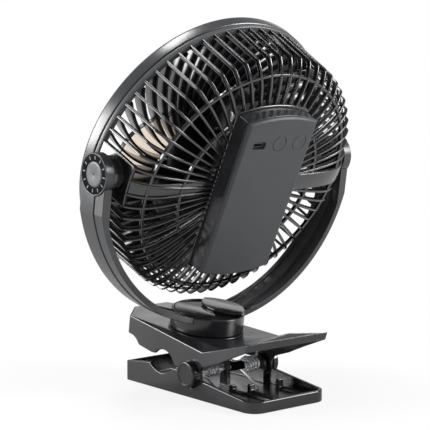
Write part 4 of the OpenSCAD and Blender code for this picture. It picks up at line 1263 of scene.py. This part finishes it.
def wire_rings(line: Sequence[Vector], radius: float, sides: int) -> list[list[Point]]:
    """Rings of points round a bent wire.

    Args:
        line: Points on the wire's middle line.
        radius: Radius of the wire.
        sides: Points in each ring.

    Returns:
        One ring for each point of the line.
    """
    rings = []
    up = Vector((1.0, 0.0, 0.0))
    for i, spot in enumerate(line):
        way = (line[min(i + 1, len(line) - 1)] - line[max(i - 1, 0)]).normalized()
        first = (up - way * up.dot(way)).normalized()
        second = way.cross(first)
        rings.append([tuple(spot + radius * (first * math.cos(a) + second * math.sin(a)))
                      for a in (2 * math.pi * j / sides for j in range(sides))])
    return rings


@dataclass
class ControlBox:
    """The box on the back with its cover, buttons and inlet."""

    face: float = 46.1
    button_up: float = 43.3
    button_r: float = 5.8
    power_x: float = -1.1
    light_x: float = -19.5
    tub_edge: float = 0.5
    cover_edge: float = 0.45

    def button(self, name: str, node: str, across: float, body: Body) -> None:
        """Builds one push button with a dished top.

        Args:
            name: The piece's name.
            node: The solid that it replaces.
            across: Where it sits beside the fan's axis.
            body: The body that it rides on.
        """
        def place(r: float, v: float, a: float) -> Point:
            """A point by distance from the button's axis, depth and angle."""
            return (across + r * math.sin(a), v, self.button_up + r * math.cos(a))

        low, high = self.face - 2.4, self.face
        cap = rounded([(0.01, low), (self.button_r, low), (self.button_r, high), (4.4, high - 0.05),
                       (0.01, high - 0.3)],
                      [0, 0.2, 0.6, 1.5, 0], 4)
        draft = Draft(STANCE.head()).lathe(cap, place, 80)
        draft.lathe([(0.01, low - 2.0), (2.0, low - 2.0), (2.0, low + 0.5), (0.01, low + 0.5)], place, 24)
        draft.piece(name, BOX, body, "dark_shell", [node])

    def build(self) -> None:
        """Builds the tub, the cover and the buttons."""
        # The tub takes the darker finish: painted shade on the box's side walls.
        softened("control_box", "box_tub_shell", SHADED_TUB, Body.HEAD, self.tub_edge)
        softened("box_cover", "box_cover_shell", BOX, Body.HEAD, self.cover_edge)
        self.button("power_button_cap", "power_button", self.power_x, Body.POWER)
        self.button("light_button_cap", "light_button", self.light_x, Body.LIGHT)


@dataclass
class SmallParts:
    """The solids that keep their own shape and get a surface."""

    finishes: dict[str, Finish] = field(default_factory=lambda: {
        "pin_sleeve": DIAL, "thrust_washer": NYLON, "tilt_washer_left": NYLON, "tilt_washer_right": NYLON,
        "swivel_base_screws": STEEL, "swivel_washer": STEEL, "swivel_screw": STEEL, "tilt_bolt_left": STEEL,
        "tilt_bolt_right": STEEL, "motor_shaft": STEEL, "motor_can": STEEL, "motor_end_plate": STEEL,
        "motor_bearings": STEEL, "motor_screws": STEEL, "box_screws": STEEL, "usb_c_port": PORT,
        "rotor_magnet": MAGNET, "stator_core": COPPER, "battery_cells": SLEEVE, "battery_bracket": DIAL,
        "circuit_board": MASK, "tact_switches": DIAL, "lamp_board": LEDS})

    def build(self) -> None:
        """Gives each small solid its surface."""
        for node, finish in self.finishes.items():
            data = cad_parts[node].data
            data.materials.clear()
            data.materials.append(finish.material())
            log.info("dressed %s in %s", node, finish.name)


# ---- Studio ---------------------------------------------------------------


@dataclass
class Studio:
    """The white room, its lamps and the camera."""

    azimuth: float = 39.7987
    elevation: float = 7.5107
    roll: float = 0.166
    distance: float = 1265.83
    aim: Point = (7.31, 24.65, 130.06)
    lens: float = 146.09
    sensor: float = 36.0
    fill: float = 0.34
    shade: float = 0.16
    shade_from: float = 0.05
    shade_to: float = 0.30

    def camera(self) -> None:
        """Places the camera behind and beside the fan."""
        data = bpy.data.cameras.new("studio camera")
        data.lens = self.lens
        data.sensor_width = self.sensor
        data.clip_end = 20.0
        cam = bpy.data.objects.new("studio camera", data)
        bpy.context.scene.collection.objects.link(cam)
        az, el = math.radians(self.azimuth), math.radians(self.elevation)
        back = Vector((math.sin(az) * math.cos(el), math.cos(az) * math.cos(el), math.sin(el)))
        turn = back.to_track_quat("Z", "Y").to_matrix().to_4x4()
        spot = (Vector(self.aim) + back * self.distance) * MM
        cam.matrix_world = Matrix.Translation(spot) @ turn @ Matrix.Rotation(math.radians(self.roll), 4, "Z")
        bpy.context.scene.camera = cam

    def room(self) -> None:
        """Sets the white surroundings, which light the fan at a lower level."""
        world = bpy.data.worlds.new("white room")
        bpy.context.scene.world = world
        world.use_nodes = True
        tree = world.node_tree
        tree.nodes.clear()
        seen = tree.nodes.new("ShaderNodeBackground")
        seen.inputs["Color"].default_value = (1.0, 1.0, 1.0, 1.0)
        seen.inputs["Strength"].default_value = 1.0
        light = tree.nodes.new("ShaderNodeBackground")
        light.inputs["Color"].default_value = (0.97, 0.985, 1.0, 1.0)
        light.inputs["Strength"].default_value = self.fill
        mix = tree.nodes.new("ShaderNodeMixShader")
        out = tree.nodes.new("ShaderNodeOutputWorld")
        tree.links.new(seen_rays(tree), mix.inputs["Fac"])
        tree.links.new(light.outputs[0], mix.inputs[1])
        tree.links.new(seen.outputs[0], mix.inputs[2])
        tree.links.new(mix.outputs[0], out.inputs["Surface"])

    def floor(self) -> None:
        """Lays the white floor, which keeps a faint shadow close to the fan."""
        bm = bmesh.new()
        bmesh.ops.create_grid(bm, x_segments=1, y_segments=1, size=6.0)
        mesh = bpy.data.meshes.new("studio floor")
        bm.to_mesh(mesh)
        bm.free()
        ground = bpy.data.objects.new("studio_floor", mesh)
        ground.location.z = -0.0004
        bpy.context.scene.collection.objects.link(ground)
        paint = bpy.data.materials.new("studio floor white")
        paint.use_nodes = True
        tree = paint.node_tree
        tree.nodes.clear()
        matt = tree.nodes.new("ShaderNodeBsdfDiffuse")
        matt.inputs["Color"].default_value = (0.8, 0.8, 0.8, 1.0)
        glow = tree.nodes.new("ShaderNodeEmission")
        share = tree.nodes.new("ShaderNodeMath")
        share.operation = "SUBTRACT"
        near = tree.nodes.new("ShaderNodeMapRange")
        near.interpolation_type = "SMOOTHSTEP"
        near.inputs["From Min"].default_value = self.shade_from
        near.inputs["From Max"].default_value = self.shade_to
        near.inputs["To Min"].default_value = self.shade
        near.inputs["To Max"].default_value = 0.0
        place = tree.nodes.new("ShaderNodeTexCoord")
        length = tree.nodes.new("ShaderNodeVectorMath")
        length.operation = "LENGTH"
        mix = tree.nodes.new("ShaderNodeMixShader")
        out = tree.nodes.new("ShaderNodeOutputMaterial")
        link = tree.links.new
        link(place.outputs["Object"], length.inputs[0])
        link(length.outputs["Value"], near.inputs["Value"])
        link(seen_rays(tree), share.inputs[0])
        link(near.outputs["Result"], share.inputs[1])
        link(share.outputs[0], mix.inputs["Fac"])
        link(matt.outputs[0], mix.inputs[1])
        link(glow.outputs[0], mix.inputs[2])
        link(mix.outputs[0], out.inputs["Surface"])
        ground.data.materials.append(paint)

    def lamp(self, name: str, spot: Point, size: tuple[float, float], power: float) -> None:
        """Hangs one soft lamp, turned to the fan's middle.

        Args:
            name: The lamp's name.
            spot: Where it hangs, in metres.
            size: Its width and height in metres.
            power: Its power in watts.
        """
        data = bpy.data.lights.new(name, "AREA")
        data.shape = "RECTANGLE"
        data.size, data.size_y = size
        data.energy = power
        lamp = bpy.data.objects.new(name, data)
        bpy.context.scene.collection.objects.link(lamp)
        way = Vector(self.aim) * MM - Vector(spot)
        lamp.matrix_world = Matrix.Translation(spot) @ way.to_track_quat("-Z", "Y").to_matrix().to_4x4()

    def build(self) -> None:
        """Sets up the room, the lamps and the camera."""
        self.camera()
        self.room()
        self.floor()
        self.lamp("side lamp", (1.40, -1.15, 0.46), (1.1, 0.66), 37.0)
        self.lamp("back lamp", (-1.00, 1.05, 0.72), (0.5, 0.5), 22.0)
        self.lamp("top lamp", (0.15, -0.40, 1.70), (0.6, 0.3), 12.0)
        self.lamp("far lamp", (-1.05, -1.05, 0.72), (0.5, 0.5), 0.8)
        bpy.context.scene.view_settings.view_transform = "Standard"


def seen_rays(tree: bpy.types.NodeTree) -> bpy.types.NodeSocket:
    """The mask of rays that show the white itself: straight from the camera or through glass.

    Args:
        tree: The node tree that needs it.

    Returns:
        A socket that is 1 for those rays.
    """
    rays = tree.nodes.new("ShaderNodeLightPath")
    both = tree.nodes.new("ShaderNodeMath")
    both.operation = "MAXIMUM"
    tree.links.new(rays.outputs["Is Camera Ray"], both.inputs[0])
    tree.links.new(rays.outputs["Is Transmission Ray"], both.inputs[1])
    return both.outputs[0]


def main() -> None:
    """Builds the fan's assemblies in order."""
    logging.basicConfig(level=logging.INFO, format="%(message)s")
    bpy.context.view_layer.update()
    EFFECTS["moulded grain"] = build_grain()
    EFFECTS["handling marks"] = build_handling()
    EFFECTS["painted edge highlights"] = build_edge_highlights()
    Studio().build()
    for assembly in (SmallParts(), RingHead(), RearCage(), Lamp(), Rotor(), Yoke(), SwivelHub(), Clamp(),
                     ControlBox()):
        assembly.build()
        log.info("built %s", type(assembly).__name__)


if __name__ == "__main__":
    main()
